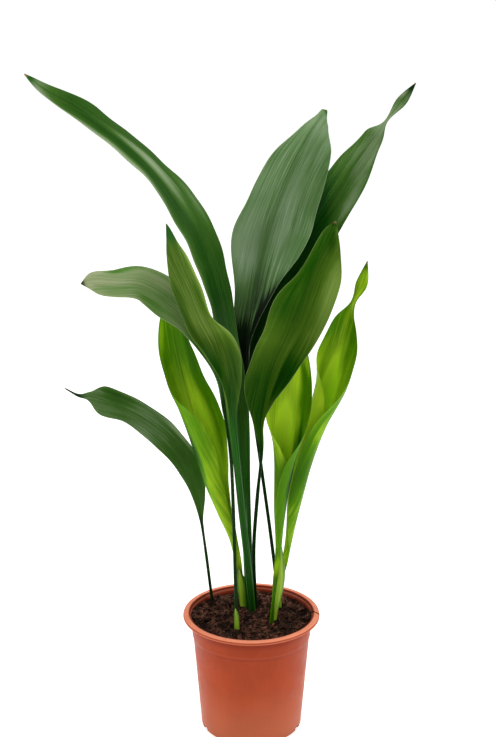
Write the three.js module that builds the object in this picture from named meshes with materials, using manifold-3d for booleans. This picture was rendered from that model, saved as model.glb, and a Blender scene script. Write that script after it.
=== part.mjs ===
import * as THREE from 'three';
import { mergeVertices } from 'three/addons/utils/BufferGeometryUtils.js';
import Module from 'manifold-3d';

// Potted cast iron plant: a clump of ten leaves in a round plastic nursery pot filled with soil.
// Millimetres, +Z up, origin at the middle of the pot's underside, +Y away from the viewer.

const wasm = await Module();
wasm.setup();

// Pot
const POT_HEIGHT = 153;
const POT_SEGMENTS = 40;
const BASE_RADIUS = 62.5;
const PAD_RADIUS = 24;
const FOOT_INNER = 53;
const FOOT_OUTER = 60.5;
const GROOVE_DEPTH = 1.8;
const FLOOR_TOP = 4;
const WALL_TOP_RADIUS = 72.5;
const COLLAR_LOW = 122.5;
const COLLAR_TOP_RADIUS = 76;
const RIM_RADIUS = 85;
const RIM_INNER_RADIUS = 76.3;
const RIM_UNDERSIDE = 148.6;
const DRAIN_COUNT = 8;
const DRAIN_WIDTH = 12;
const DRAIN_HEIGHT = 6;
const DRAIN_REACH = 8;
const DRAIN_FIRST_ANGLE = 22.5;
const SLIT_ANGLE = -19;
const SLIT_WIDTH = 1.2;

// Soil and what is in it
const SOIL_LEVEL = 144.5;
const SOIL_RINGS = 11;
const SOIL_GAP = 0.3;
const HOLE_SIDES = 10;
const HOLE_GAP = 1;
const HOLE_LENGTH = 38;
const SHEATH_HOLE_GAP = 3.4;
const ROOT_LEVEL = 111;
const RHIZOME_RADIUS = 6.5;
const SCALE_RING_HEIGHT = 0.7;
const SCALE_RING_STEP = 12;
const RHIZOME_SIDES = 6;
const STEM_FOOT = 120;
const SEAT_GAP = 0.3;
const SEAT_MARGIN = 3.6;

// Leaves
const BLADE_THICKNESS = 0.8;
const KEEL_DEPTH = 1.25;
const FOOT_HALF_WIDTH = 0.5;
const FLAT_COLUMNS = [0, 0.14, 0.55, 1];
const ROLLED_COLUMNS = [0, 0.12, 0.4, 0.7, 1];
const CURL_STEPS = 24;
const MARGIN_PHASE = 1.7;
const CYLINDER_AXIS = new THREE.Vector3(0, 1, 0);
const TO_VIEWER = new THREE.Vector3(0, -1, 0);
const FROM_VIEWER = new THREE.Vector3(0, 1, 0);

// Materials
const TERRACOTTA = new THREE.MeshStandardMaterial({ color: 0xb85a38, roughness: 0.45 });
const PEAT = new THREE.MeshStandardMaterial({ color: 0x33241c, roughness: 1 });
const ROOT = new THREE.MeshStandardMaterial({ color: 0x8a6a48, roughness: 0.9 });
const BRACT = new THREE.MeshStandardMaterial({ color: 0x5d7a22, roughness: 0.6 });
const GREENS = {
	dark: new THREE.MeshStandardMaterial({ color: 0x2c5226, roughness: 0.4 }),
	mid: new THREE.MeshStandardMaterial({ color: 0x476b2a, roughness: 0.4 }),
	pale: new THREE.MeshStandardMaterial({ color: 0x6f8f6a, roughness: 0.35 }),
	lime: new THREE.MeshStandardMaterial({ color: 0x8fae2a, roughness: 0.5 }),
};

// Each leaf follows rows from the soil to its tip:
// x, y, z, half width, roll, turn of the left half, turn of the right half (mm and degrees).
// blade is the row at which the stalk becomes blade. crease shares the turn between a sharp fold
// at the midrib and an even curl. sides are the width shares of the two halves.
// wave is the height, count and phase of the margin's waves. foot is where a stalk that leans in
// the soil grows from; the others stand straight under their first row.
const LEAVES = {
	a: {
		green: 'dark', blade: 5, crease: 0.7, wave: [1.8, 2.5, 0.5],
		rows: [
			[-4, 26, 148, 2.6, 0, 20, 20], [-7, 22, 213, 2.6, 0, 20, 20], [-9, 19, 289, 3, -20, 20, 20],
			[-12, 17, 360, 6, -40, 20, 20], [-17, 15, 430, 15, -52, 12, 12], [-29, 3, 501, 26, -66, 8, 8],
			[-40, -12, 571, 38, -72, 6, 6], [-59, -26, 638, 42, -74, 3, 3], [-86, -40, 693, 41, -76, -2, -2],
			[-118, -54, 737, 36, -79, -2, -2], [-154, -68, 772, 29, -79, -2, -2],
			[-192, -80, 802, 20, -71, -2, -2], [-225, -88, 823, 10, -60, -3, -3],
			[-246, -92, 840, 0.6, -50, 0, 0],
		],
	},
	b: {
		green: 'pale', blade: 5, crease: 0.8, sides: [0.88, 1.05], wave: [3, 2.5, 0],
		rows: [
			[-1, 41, 145, 2.6, 0, 20, 20], [-2, 44, 217, 2.6, 0, 20, 20], [-4, 47, 291, 2.6, 0, 20, 20],
			[-5, 50, 363, 2.8, 10, 25, 25], [-7, 54, 429, 6, 25, 35, 35], [-5, 58, 492, 19, 38, 38, 42],
			[4, 64, 548, 29, 24, 26, 32], [15, 72, 601, 47, 16, 20, 20], [28, 82, 649, 48, -14, 17, 17],
			[46, 93, 693, 46, -22, 18, 18], [67, 104, 732, 33, -34, 26, 26], [82, 114, 752, 15, -34, 20, 20],
			[91, 122, 760, 0.6, 0, 0, 0],
		],
	},
	c: {
		green: 'dark', blade: 6, crease: 0.8, wave: [2, 2, 1],
		rows: [
			[35, 31, 147, 2, 0, 20, 20], [25, 42, 232, 1.9, 0, 20, 20], [12, 58, 326, 1.9, 0, 20, 20],
			[2, 72, 401, 2.5, 0, 30, 30], [1, 82, 456, 7, 0, 30, 30], [13, 92, 511, 20, 0, 25, 25],
			[35, 104, 559, 31, 0, 22, 22], [63, 116, 600, 34, -5, 22, 22], [93, 130, 641, 29, -8, 20, 20],
			[121, 144, 682, 26, -12, 18, 18], [147, 156, 716, 14, 0, 14, 14], [164, 164, 738, 7, 82, 0, 0],
			[185, 172, 762, 7, 30, 0, 0], [202, 178, 783, 0.6, 10, 0, 0],
		],
	},
	d: {
		green: 'mid', blade: 5, crease: 0.8, wave: [1.5, 2, 0],
		rows: [
			[1, 18, 147, 4, 0, 25, 25], [-5, 9, 219, 3.8, 0, 25, 25], [-12, -4, 292, 3.8, 0, 25, 25],
			[-18, -18, 363, 4, -10, 25, 25], [-24, -31, 425, 7, -40, 30, 30], [-30, -39, 474, 19, -40, 38, 38],
			[-40, -46, 520, 26, -12, 40, 40], [-56, -50, 558, 25, 28, 35, 38], [-73, -54, 599, 20.5, 28, 26, 22],
			[-85, -60, 630, 12, 20, 20, 16], [-91, -64, 650, 5.8, 10, 10, 25], [-96, -67, 667, 0.6, 0, 0, 0],
		],
	},
	e: {
		green: 'pale', blade: 7, crease: 0.6, wave: [1.5, 2, 0],
		rows: [
			[-18, -30, 147, 2, 0, 20, 20], [-20, -21, 220, 1.8, 0, 20, 20], [-22, -16, 297, 1.8, 0, 20, 20],
			[-25, -15, 368, 1.8, 0, 20, 20], [-32, -14, 425, 2.2, -30, 20, 20], [-39, -14, 467, 8, -58, 12, 12],
			[-53, -14, 506, 20, -62, 6, 6], [-72, -15, 539, 28, -60, 4, 4], [-97, -18, 564, 30, -58, 2, 2],
			[-127, -26, 585, 27, -58, -2, -2], [-157, -38, 590, 21.5, -58, -6, -8],
			[-179, -48, 594, 14.5, -48, -8, -8], [-195, -56, 594, 0.6, -30, 0, 0],
		],
	},
	f: {
		green: 'lime', blade: 3, crease: 0.1, sides: [1.2, 0.84], wave: [1, 2, 0],
		rows: [
			[-10, 32, 147, 2.6, 0, 20, 20], [-14, 32, 191, 4, 0, 25, 25], [-23, 30, 237, 12, -10, 105, 60],
			[-36, 27, 279, 25, -10, 115, 58], [-49, 24, 323, 37, -8, 117, 48], [-60, 20, 369, 44, -8, 114, 34],
			[-72, 15, 417, 43, -8, 94, 26], [-82, 10, 459, 31, -5, 56, 20], [-90, 6, 500, 22.5, -6, 34, 18],
			[-94, 7, 536, 12.5, -5, 20, 16], [-93, 9, 566, 0.6, 0, 0, 0],
		],
	},
	g: {
		green: 'dark', blade: 4, crease: 0.6, wave: [1.8, 2.5, 0], foot: [-44, 42],
		rows: [
			[-50, 47, 149, 1.7, 0, 20, 20], [-56, 45, 203, 1.6, 0, 20, 20], [-62, 42, 255, 2, 0, 20, 20],
			[-66, 38, 294, 9, -18, 22, 22], [-76, 33, 334, 17.5, -42, 2, 2], [-97, 26, 370, 20.5, -52, -4, -4],
			[-122, 18, 397, 21.5, -58, -4, -4], [-151, 10, 419, 20.5, -54, -3, -3],
			[-177, 2, 432, 18.5, -40, -4, -4], [-193, -4, 439, 6, -30, -5, -5],
			[-207, -8, 442, 1.8, 0, 0, 0], [-222, -12, 452, 0.6, 0, 0, 0],
		],
	},
	h: {
		green: 'mid', blade: 5, crease: 0.75, wave: [2, 2.5, 0],
		rows: [
			[5, 33, 148, 2, 0, 20, 20], [3, 26, 225, 2, 0, 20, 20], [7, 14, 298, 2, 0, 20, 20],
			[12, 4, 361, 2, 0, 25, 25], [11, -4, 403, 9, 30, 30, 40], [17, -10, 444, 26, 32, 30, 42],
			[27, -15, 485, 31, 8, 29, 31], [43, -20, 523, 35, -4, 26, 34], [57, -24, 561, 38, -9, 21, 22],
			[70, -27, 601, 36, -30, 32, 28], [85, -29, 635, 18.5, -18, 30, 20], [96, -31, 661, 0.6, 0, 0, 0],
		],
	},
	i: {
		green: 'lime', blade: 3, crease: 0.1, sides: [0.83, 1.03], wave: [0.4, 2, 0],
		rows: [
			[28, -3, 148, 2.2, 0, 12, 12], [37, 4, 199, 2.6, 0, 22, 22], [46, 16, 246, 15, 14, 118, 80],
			[53, 26, 295, 38, 12, 124, 97], [63, 32, 350, 49, 8, 122, 96], [77, 38, 396, 51, 6, 114, 88],
			[91, 44, 435, 49, 6, 84, 64], [103, 48, 475, 38, 5, 38, 50], [113, 50, 510, 21.5, 8, 16, 40],
			[122, 52, 539, 7, 70, 0, 0], [132, 54, 563, 8, 24, 0, 0], [139, 56, 590, 0.6, 0, 0, 0],
		],
	},
	j: {
		green: 'lime', blade: 3, crease: 0.1, sides: [0.8, 1.02], wave: [0.4, 2, 0],
		rows: [
			[25, -15, 148, 2.4, 0, 15, 15], [29, -12, 199, 2.7, 0, 25, 25], [33, -4, 244, 13, 10, 112, 84],
			[34, 4, 294, 31, 8, 122, 94], [37, 10, 344, 44, 4, 110, 86], [41, 17, 397, 45, 0, 52, 54],
			[46, 18, 448, 36, 4, 26, 38], [51, 21, 491, 18, 4, 15, 24], [56, 26, 526, 0.6, 0, 0, 0],
		],
	},
};

// Sheath scales clasp the front of a stalk: the stalk's leaf, the scale's clear radius round it
// at the foot and half way up, the height of its tip, and how far the tip stands to the right
// and ahead of the stalk.
const SHEATHS = {
	sheath_c: { stem: 'c', radius: 3, middle: 3.2, tip: 162, lean: -1, ahead: 0 },
	sheath_e: { stem: 'e', radius: 2.8, middle: 3, tip: 172, lean: -1, ahead: 0.5 },
	sheath_f: { stem: 'f', radius: 4.3, middle: 5.9, tip: 199, lean: 0, ahead: 1.5 },
	sheath_i: { stem: 'i', radius: 3.6, middle: 5.6, tip: 240, lean: -8, ahead: 11 },
};
const WRAP = 2.1;
const WRAP_HALF_WAY = 1.5;
const WRAP_AT_TIP = 0.16;

// The rhizome creeps along these lines under the stalks, and its roots go down from them.
const RHIZOME_LINES = [
	[[-43, 43], [-28, 40], [-10, 32], [-4, 26], [1, 18], [12, 5], [26, -13]],
	[[-5, 27], [-2, 39], [7, 36], [21, 34], [35, 31]],
	[[1, 18], [-9, -6], [-18, -30]],
];
const ROOTS = [
	[[-40, 44], [-52, 30], [-48, 14]], [[-20, 36], [-30, 22], [-38, -10]], [[2, 16], [14, 22], [30, 48]],
	[[12, 4], [22, 16], [46, 20]], [[24, -6], [34, -18], [28, -44]], [[-12, -16], [-4, -26], [4, -46]],
	[[26, 32], [20, 48], [10, 56]], [[-14, -22], [-28, -20], [-44, -28]],
];
const ROOT_RADIUS = 1.6;
const ROOT_SIDES = 6;
const ROOT_STEPS = 3;
const ROOT_DEPTHS = [ROOT_LEVEL, 84, 46];

function toSolid(geometry) {
	const bare = geometry.clone();
	bare.deleteAttribute('normal');
	bare.deleteAttribute('uv');
	const merged = mergeVertices(bare, 1e-3);
	const corners = merged.index.array;
	const triVerts = [];
	for (let i = 0; i < corners.length; i += 3) {
		const [a, b, c] = [corners[i], corners[i + 1], corners[i + 2]];
		if (a !== b && b !== c && c !== a) triVerts.push(a, b, c);
	}
	const vertProperties = new Float32Array(merged.attributes.position.array);
	return new wasm.Manifold(new wasm.Mesh({ numProp: 3, vertProperties, triVerts: new Uint32Array(triVerts) }));
}

function toGeometry(solid) {
	const mesh = solid.getMesh();
	const geometry = new THREE.BufferGeometry();
	geometry.setAttribute('position', new THREE.BufferAttribute(new Float32Array(mesh.vertProperties), 3));
	geometry.setIndex(new THREE.BufferAttribute(new Uint32Array(mesh.triVerts), 1));
	geometry.computeVertexNormals();
	return geometry;
}

function piece(name, geometry, material) {
	const mesh = new THREE.Mesh(geometry, material);
	mesh.name = name;
	return mesh;
}

// A closed body through rings of points, all with the same number of points. The two halves of a
// ring are split along matching diagonals, so that a thin warped blade stays evenly thick.
function skin(rings) {
	const count = rings[0].length;
	const positions = rings.flat().flatMap((point) => [point.x, point.y, point.z]);
	const index = [];
	for (let i = 0; i < rings.length - 1; i++) {
		for (let j = 0; j < count; j++) {
			const here = i * count + j;
			const next = i * count + ((j + 1) % count);
			if (j < count / 2) {
				index.push(here, next, next + count, here, next + count, here + count);
			} else {
				index.push(here, next, here + count, next, next + count, here + count);
			}
		}
	}
	const last = (rings.length - 1) * count;
	for (let j = 0; j < count / 2 - 1; j++) {
		const across = count - 1 - j;
		index.push(j, across, across - 1, j, across - 1, j + 1);
		index.push(last + j, last + j + 1, last + across - 1, last + j, last + across - 1, last + across);
	}
	const geometry = new THREE.BufferGeometry();
	geometry.setAttribute('position', new THREE.Float32BufferAttribute(positions, 3));
	geometry.setIndex(index);
	geometry.computeVertexNormals();
	return geometry;
}

// Round tube along a curve. radiusAt gives the radius at a fraction of its length.
function tube(curve, steps, sides, radiusAt) {
	const rings = [];
	for (let i = 0; i <= steps; i++) {
		const at = i / steps;
		const centre = curve.getPointAt(at);
		const along = curve.getTangentAt(at);
		const across = new THREE.Vector3(-along.y, along.x, 0).normalize();
		const up = along.clone().cross(across);
		const ring = [];
		for (let j = 0; j < sides; j++) {
			const angle = (2 * Math.PI * j) / sides;
			const out = across.clone().multiplyScalar(Math.cos(angle)).addScaledVector(up, Math.sin(angle));
			ring.push(centre.clone().addScaledVector(out, radiusAt(at)));
		}
		rings.push(ring);
	}
	return skin(rings);
}

function curveThrough(points) {
	return new THREE.CatmullRomCurve3(points, false, 'catmullrom', 0.5);
}

// Where the stalk meets the rhizome, and how far it leans from there to the top of the soil.
function stemFoot({ rows, foot }) {
	const [x, y, z, halfWidth] = rows[0];
	const [footX, footY] = foot ?? [x, y];
	const lean = Math.hypot(x - footX, y - footY) / (z - STEM_FOOT);
	return { x: footX, y: footY, halfWidth, lean };
}

// The leaf's rows as smooth curves, with one more row at the stalk's foot.
function leafCurves({ rows, foot }) {
	const [, , , halfWidth, , ...turns] = rows[0];
	const { x, y } = stemFoot({ rows, foot });
	const all = [[x, y, STEM_FOOT, halfWidth, 0, ...turns], ...rows];
	return {
		place: curveThrough(all.map((row) => new THREE.Vector3(row[0], row[1], row[2]))),
		width: curveThrough(all.map((row) => new THREE.Vector3(row[3], row[4], 0))),
		turn: curveThrough(all.map((row) => new THREE.Vector3(row[5], row[6], 0))),
		spans: all.length - 1,
	};
}

// Directions across the leaf at a point of its midrib: out of its face, and towards its right half.
function leafFrame(curves, t, roll, face) {
	const along = curves.place.getTangent(t);
	const straight = face.clone().addScaledVector(along, -face.dot(along)).normalize();
	const side = along.clone().cross(straight);
	const out = straight.clone().multiplyScalar(Math.cos(roll)).addScaledVector(side, -Math.sin(roll));
	const right = side.clone().multiplyScalar(Math.cos(roll)).addScaledVector(straight, Math.sin(roll));
	return { out, right };
}

// Where a half's surface is at column c, as distances across and out for a half width of 1.
function curlTo(c, turn, crease, power) {
	const rate = (1 - crease) * (power + 1);
	const angleAt = (s) => turn * (crease + rate * s ** power);
	let across = 0;
	let out = 0;
	for (let k = 0; k < CURL_STEPS; k++) {
		const angle = angleAt((c * (k + 0.5)) / CURL_STEPS);
		across += (Math.cos(angle) * c) / CURL_STEPS;
		out += (Math.sin(angle) * c) / CURL_STEPS;
	}
	return { across, out, angle: angleAt(c) };
}

// One ring round the leaf: its upper face from the left margin to the right one, and back below.
function leafRing(leaf, curves, t, columns, keelHalf) {
	const { crease, curl = 1, sides = [1, 1], face = TO_VIEWER } = leaf;
	const [height, count, phase] = leaf.wave ?? [0, 0, 0];
	const middle = curves.place.getPoint(t);
	const size = curves.width.getPoint(t);
	const turns = curves.turn.getPoint(t);
	const halfWidth = Math.max(size.x, FOOT_HALF_WIDTH);
	const { out, right } = leafFrame(curves, t, THREE.MathUtils.degToRad(size.y), face);
	const bladeStart = leaf.blade / curves.spans;
	const along = Math.max(0, (t - bladeStart) / (1 - bladeStart));
	const reach = Math.min(keelHalf / halfWidth, 1);
	const upper = [];
	const lower = [];
	for (const c of columns) {
		const side = Math.sign(c) || 1;
		const share = side < 0 ? sides[0] : sides[1];
		const turn = THREE.MathUtils.degToRad(side < 0 ? turns.x : turns.y);
		const spot = curlTo(Math.abs(c), turn, crease, curl);
		const ripple = Math.sin(2 * Math.PI * count * along + phase + (c > 0 ? MARGIN_PHASE : 0));
		const wave = height * c * c * ripple * Math.sin(Math.PI * along);
		const point = middle.clone();
		point.addScaledVector(right, side * spot.across * halfWidth * share);
		point.addScaledVector(out, spot.out * halfWidth * share + wave);
		const bend = c === 0 ? 0 : spot.angle;
		const normal = out.clone().multiplyScalar(Math.cos(bend)).addScaledVector(right, -side * Math.sin(bend));
		const hump = Math.abs(c) < reach ? Math.sqrt(1 - (c / reach) ** 2) : 0;
		const keel = KEEL_DEPTH * Math.min(keelHalf, halfWidth) * (1 - 0.8 * along) * hump;
		upper.push(point);
		lower.push(point.clone().addScaledVector(normal, -(BLADE_THICKNESS + keel)));
	}
	return [...upper, ...lower.reverse()];
}

function leafBody(leaf) {
	const curves = leafCurves(leaf);
	const half = leaf.crease < 0.5 ? ROLLED_COLUMNS : FLAT_COLUMNS;
	const columns = [...half.slice(1).reverse().map((c) => -c), ...half];
	const keelHalf = leaf.keel ?? leaf.rows[Math.max(leaf.blade - 3, 0)][3];
	const rings = [];
	for (let span = 0; span < curves.spans; span++) {
		const steps = span < leaf.blade - 1 ? 1 : 2;
		for (let k = 0; k < steps; k++) {
			rings.push(leafRing(leaf, curves, (span + k / steps) / curves.spans, columns, keelHalf));
		}
	}
	rings.push(leafRing(leaf, curves, 1, columns, keelHalf));
	return skin(rings);
}

// Middle of a stalk's section, behind the flat face that its rows follow.
function stemAxis(rows) {
	return rows.map(([x, y, z, halfWidth]) => new THREE.Vector3(x, y + 0.4 * halfWidth, z));
}

// A sheath scale is a short leaf wrapped the other way round, with no keel.
function sheathLeaf({ stem, radius, middle, tip, lean, ahead }) {
	const { rows } = LEAVES[stem];
	const curve = curveThrough(stemAxis(rows));
	const axisAt = (z) => {
		let t = 0;
		while (curve.getPoint(t).z < z) t += 0.002;
		return curve.getPoint(t);
	};
	// Each half goes wrap radians round the stalk, and turns by half that on average.
	const rowAt = (z, clear, wrap, part) => {
		const axis = axisAt(z);
		const turn = THREE.MathUtils.radToDeg(wrap / 2);
		return [axis.x + part * lean, axis.y - clear - part * ahead, z, wrap * clear, 0, turn, turn];
	};
	const start = rows[0][2];
	return {
		blade: 1, crease: 0, face: FROM_VIEWER, keel: 0,
		rows: [
			rowAt(start, radius, WRAP, 0), rowAt((start + tip) / 2, middle, WRAP_HALF_WAY, 0.1),
			rowAt(tip, middle, WRAP_AT_TIP, 1),
		],
	};
}

// Pot
function potProfile() {
	const points = [
		[0, 0], [PAD_RADIUS, 0], [PAD_RADIUS + 2, GROOVE_DEPTH], [FOOT_INNER - 2, GROOVE_DEPTH], [FOOT_INNER, 0],
		[FOOT_OUTER, 0], [BASE_RADIUS + 0.2, 2.5], [WALL_TOP_RADIUS, COLLAR_LOW],
		[WALL_TOP_RADIUS + 1.2, COLLAR_LOW + 1.2], [COLLAR_TOP_RADIUS - 0.8, RIM_UNDERSIDE - 1.6],
		[COLLAR_TOP_RADIUS, RIM_UNDERSIDE], [RIM_RADIUS - 1, RIM_UNDERSIDE], [RIM_RADIUS, RIM_UNDERSIDE + 1.2],
		[RIM_RADIUS, RIM_UNDERSIDE + 2.4], [RIM_RADIUS - 1, POT_HEIGHT - 0.8], [RIM_RADIUS - 3, POT_HEIGHT],
		[RIM_INNER_RADIUS + 2, POT_HEIGHT], [RIM_INNER_RADIUS, POT_HEIGHT - 2], ...innerWall(0),
		[0, FLOOR_TOP],
	];
	return points.map(([radius, z]) => new THREE.Vector2(radius, z));
}

// The inside of the wall from the top down, moved in by a gap.
function innerWall(gap) {
	const wall = [[73.6, 146], [72.3, COLLAR_LOW + 2], [71, COLLAR_LOW - 1], [61.2, FLOOR_TOP]];
	return wall.map(([radius, z]) => [radius - gap, z]);
}

function lathe(points, segments) {
	const geometry = new THREE.LatheGeometry(points, segments);
	geometry.rotateX(Math.PI / 2);
	return geometry;
}

function drain(angle) {
	const box = new THREE.BoxGeometry(2 * DRAIN_REACH, DRAIN_WIDTH, 2 * DRAIN_HEIGHT);
	box.translate(BASE_RADIUS + 1, 0, 0);
	box.rotateZ(THREE.MathUtils.degToRad(angle));
	return toSolid(box);
}

function rimSlit() {
	const box = new THREE.BoxGeometry(8.4, SLIT_WIDTH, 10);
	box.translate(RIM_RADIUS - 2.2, 0, POT_HEIGHT);
	box.rotateZ(THREE.MathUtils.degToRad(SLIT_ANGLE));
	return toSolid(box);
}

function makePot() {
	let pot = toSolid(lathe(potProfile(), POT_SEGMENTS));
	for (let k = 0; k < DRAIN_COUNT; k++) {
		pot = pot.subtract(drain(DRAIN_FIRST_ANGLE + (360 / DRAIN_COUNT) * k));
	}
	return piece('pot', toGeometry(pot.subtract(rimSlit())), TERRACOTTA);
}

// Rhizome with its scale rings, a seat under each stalk, and roots
function makeRhizome(grow) {
	const parts = [];
	for (const line of RHIZOME_LINES) {
		const curve = curveThrough(line.map(([x, y]) => new THREE.Vector3(x, y, ROOT_LEVEL)));
		const length = curve.getLength();
		const ringed = (at) => {
			const scale = Math.abs(Math.sin((Math.PI * at * length) / SCALE_RING_STEP));
			return RHIZOME_RADIUS + grow + SCALE_RING_HEIGHT * scale;
		};
		parts.push(tube(curve, Math.round((2 * length) / SCALE_RING_STEP), RHIZOME_SIDES, ringed));
	}
	for (const leaf of Object.values(LEAVES)) {
		const { x, y, halfWidth, lean } = stemFoot(leaf);
		const top = STEM_FOOT - SEAT_GAP - 1.5 * lean * halfWidth + grow;
		const radius = halfWidth + SEAT_MARGIN + grow;
		const seat = new THREE.CylinderGeometry(radius, radius, top - ROOT_LEVEL, HOLE_SIDES);
		seat.rotateX(Math.PI / 2);
		seat.translate(x, y + 0.4 * halfWidth, (top + ROOT_LEVEL) / 2);
		parts.push(seat);
	}
	for (const root of ROOTS) {
		const points = root.map(([x, y], k) => new THREE.Vector3(x, y, ROOT_DEPTHS[k]));
		parts.push(tube(curveThrough(points), ROOT_STEPS, ROOT_SIDES, (at) => ROOT_RADIUS * (1 - 0.6 * at) + grow));
	}
	return parts.map(toSolid).reduce((whole, part) => whole.add(part));
}

// Soil: fills the pot, with a lumpy top, and stands round the rhizome and the stalks
function soilHeight(x, y) {
	const broad = 1.3 * Math.sin(0.09 * x + 0.7) * Math.cos(0.08 * y + 0.4);
	const lumps = 0.9 * Math.sin(0.23 * x + 0.31 * y) + 0.7 * Math.cos(0.35 * x - 0.17 * y + 1);
	return SOIL_LEVEL - 0.012 * x + 0.012 * y + broad + lumps;
}

function soilBlock() {
	const edge = innerWall(SOIL_GAP)[0][0] - 0.3;
	const side = innerWall(SOIL_GAP).slice(1).reverse();
	const points = [[0, FLOOR_TOP + SOIL_GAP], [side[0][0], FLOOR_TOP + SOIL_GAP], ...side.slice(1)];
	for (let ring = 0; ring < SOIL_RINGS; ring++) {
		points.push([edge * (1 - ring / SOIL_RINGS), SOIL_LEVEL]);
	}
	points.push([0, SOIL_LEVEL]);
	const block = lathe(points.map(([radius, z]) => new THREE.Vector2(radius, z)), POT_SEGMENTS);
	const spots = block.attributes.position;
	for (let i = 0; i < spots.count; i++) {
		if (spots.getZ(i) > SOIL_LEVEL - 1) {
			const [x, y] = [spots.getX(i), spots.getY(i)];
			spots.setZ(i, soilHeight(Math.abs(x) < 1e-6 ? 0 : x, Math.abs(y) < 1e-6 ? 0 : y));
		}
	}
	return toSolid(block);
}

function stemHole(name, leaf) {
	const { x, y, halfWidth } = stemFoot(leaf);
	const sheathed = Object.values(SHEATHS).some((sheath) => sheath.stem === name);
	const radius = 1.15 * halfWidth + (sheathed ? SHEATH_HOLE_GAP : HOLE_GAP);
	const foot = new THREE.Vector3(x, y, STEM_FOOT);
	const along = new THREE.Vector3(...leaf.rows[0].slice(0, 3)).sub(foot).normalize();
	const hole = new THREE.CylinderGeometry(radius, radius, HOLE_LENGTH, HOLE_SIDES);
	hole.translate(0, HOLE_LENGTH / 2 - 1.5, 0);
	hole.applyQuaternion(new THREE.Quaternion().setFromUnitVectors(CYLINDER_AXIS, along));
	hole.translate(foot.x, foot.y + 0.4 * halfWidth, foot.z);
	return toSolid(hole);
}

function makeSoil() {
	let soil = soilBlock().subtract(makeRhizome(SOIL_GAP));
	for (const [name, leaf] of Object.entries(LEAVES)) {
		soil = soil.subtract(stemHole(name, leaf));
	}
	return piece('soil', toGeometry(soil), PEAT);
}

const plant = new THREE.Group();
plant.add(makePot());
plant.add(makeSoil());
plant.add(piece('rhizome', toGeometry(makeRhizome(0)), ROOT));
for (const [name, leaf] of Object.entries(LEAVES)) {
	plant.add(piece(`leaf_${name}`, leafBody(leaf), GREENS[leaf.green]));
}
for (const [name, sheath] of Object.entries(SHEATHS)) {
	plant.add(piece(name, leafBody(sheathLeaf(sheath)), BRACT));
}

export default plant;
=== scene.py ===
"""A potted cast iron plant: ten long-stalked leaves in a round nursery pot filled with soil.

Lengths in the tables are in millimetres and the meshes are in metres. +Z is up, the origin is the
middle of the pot's underside, and the camera looks along +Y.
"""

import math

import bpy
import numpy as np
from bpy.props import FloatProperty, FloatVectorProperty, IntProperty, PointerProperty
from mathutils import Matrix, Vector, noise


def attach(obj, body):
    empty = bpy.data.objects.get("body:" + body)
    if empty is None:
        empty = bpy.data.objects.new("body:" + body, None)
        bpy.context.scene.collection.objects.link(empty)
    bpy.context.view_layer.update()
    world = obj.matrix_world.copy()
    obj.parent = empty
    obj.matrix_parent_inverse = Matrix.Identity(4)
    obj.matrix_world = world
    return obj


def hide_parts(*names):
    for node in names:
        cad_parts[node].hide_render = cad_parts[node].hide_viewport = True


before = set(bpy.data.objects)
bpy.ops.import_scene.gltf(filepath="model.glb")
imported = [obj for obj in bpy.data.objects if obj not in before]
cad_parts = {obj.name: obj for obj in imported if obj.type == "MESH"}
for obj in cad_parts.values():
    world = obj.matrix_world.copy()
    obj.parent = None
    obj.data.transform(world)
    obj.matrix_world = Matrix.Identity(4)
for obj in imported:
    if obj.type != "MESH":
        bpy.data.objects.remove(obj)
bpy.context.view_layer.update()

bl_info = {
    "name": "Potted Cast Iron Plant",
    "version": (1, 0, 0),
    "blender": (4, 5, 0),
    "location": "3D View > Sidebar > Plant",
    "description": "Builds a cast iron plant in a terracotta-coloured nursery pot",
    "category": "Add Mesh",
}

MM = 0.001

# Pot: radii, heights and widths. The slit in the rim has its middle at SLIT_PLACE (x and y) and runs
# at SLIT_ANGLE from the X axis. Faces that look inwards within INSIDE_RADIUS and the floor's faces
# within FLOOR_RADIUS have the inner colour, the plastic darkened as painted shade.
POT_HEIGHT = 153
BASE_RADIUS = 62.5
PAD_RADIUS = 24
FOOT_INNER = 53
FOOT_OUTER = 60.5
GROOVE_DEPTH = 1.8
FLOOR_TOP = 4
WALL_TOP_RADIUS = 72.5
COLLAR_LOW = 122.5
COLLAR_TOP_RADIUS = 76
RIM_RADIUS = 85
RIM_INNER_RADIUS = 76.3
RIM_UNDERSIDE = 148.6
DRAIN_COUNT = 8
DRAIN_WIDTH = 12
DRAIN_HEIGHT = 6
DRAIN_REACH = 8
DRAIN_FIRST_ANGLE = 22.5
SLIT_ANGLE = -50
SLIT_LENGTH = 15
SLIT_PLACE = (81, -3)
SLIT_WIDTH = 1.2
SLIT_CUTTER_HEIGHT = 10
INSIDE_RADIUS = 74.5
FLOOR_RADIUS = 61
INNER_WALL = [(73.6, 146), (72.3, COLLAR_LOW + 2), (71, COLLAR_LOW - 1), (61.2, FLOOR_TOP)]
ROUNDING_STEPS = 5

# Soil. Its lumps fade out over LUMP_FADE from its edge, and it banks up from the radius BANK_START
# to the wall. The loose bits keep within LITTER_REACH up to LITTER_LEVEL, and within
# LITTER_BANK_REACH from LITTER_BANK_LEVEL up. A bed is its reach and how far it clears the stalks.
SOIL_LEVEL = 144.5
SOIL_EDGE = 73
SOIL_GAP = 0.3
SOIL_RINGS = 60
SOIL_SEGMENTS = 180
LUMP_FADE = 5
BANK_START = 62
BANK_HEIGHT = 5.2
BANK_REACH = 2.4
LITTER_REACH = 73.2
LITTER_BANK_REACH = 75.9
LITTER_LEVEL = 146
LITTER_BANK_LEVEL = 150.5
WIDE_BED = (72.5, 6)
NARROW_BED = (70, 9)
BED_RINGS = 40
BED_SEGMENTS = 120
FIBRE_RADIUS = 0.35
HALF_TURN = 3.1416

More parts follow.
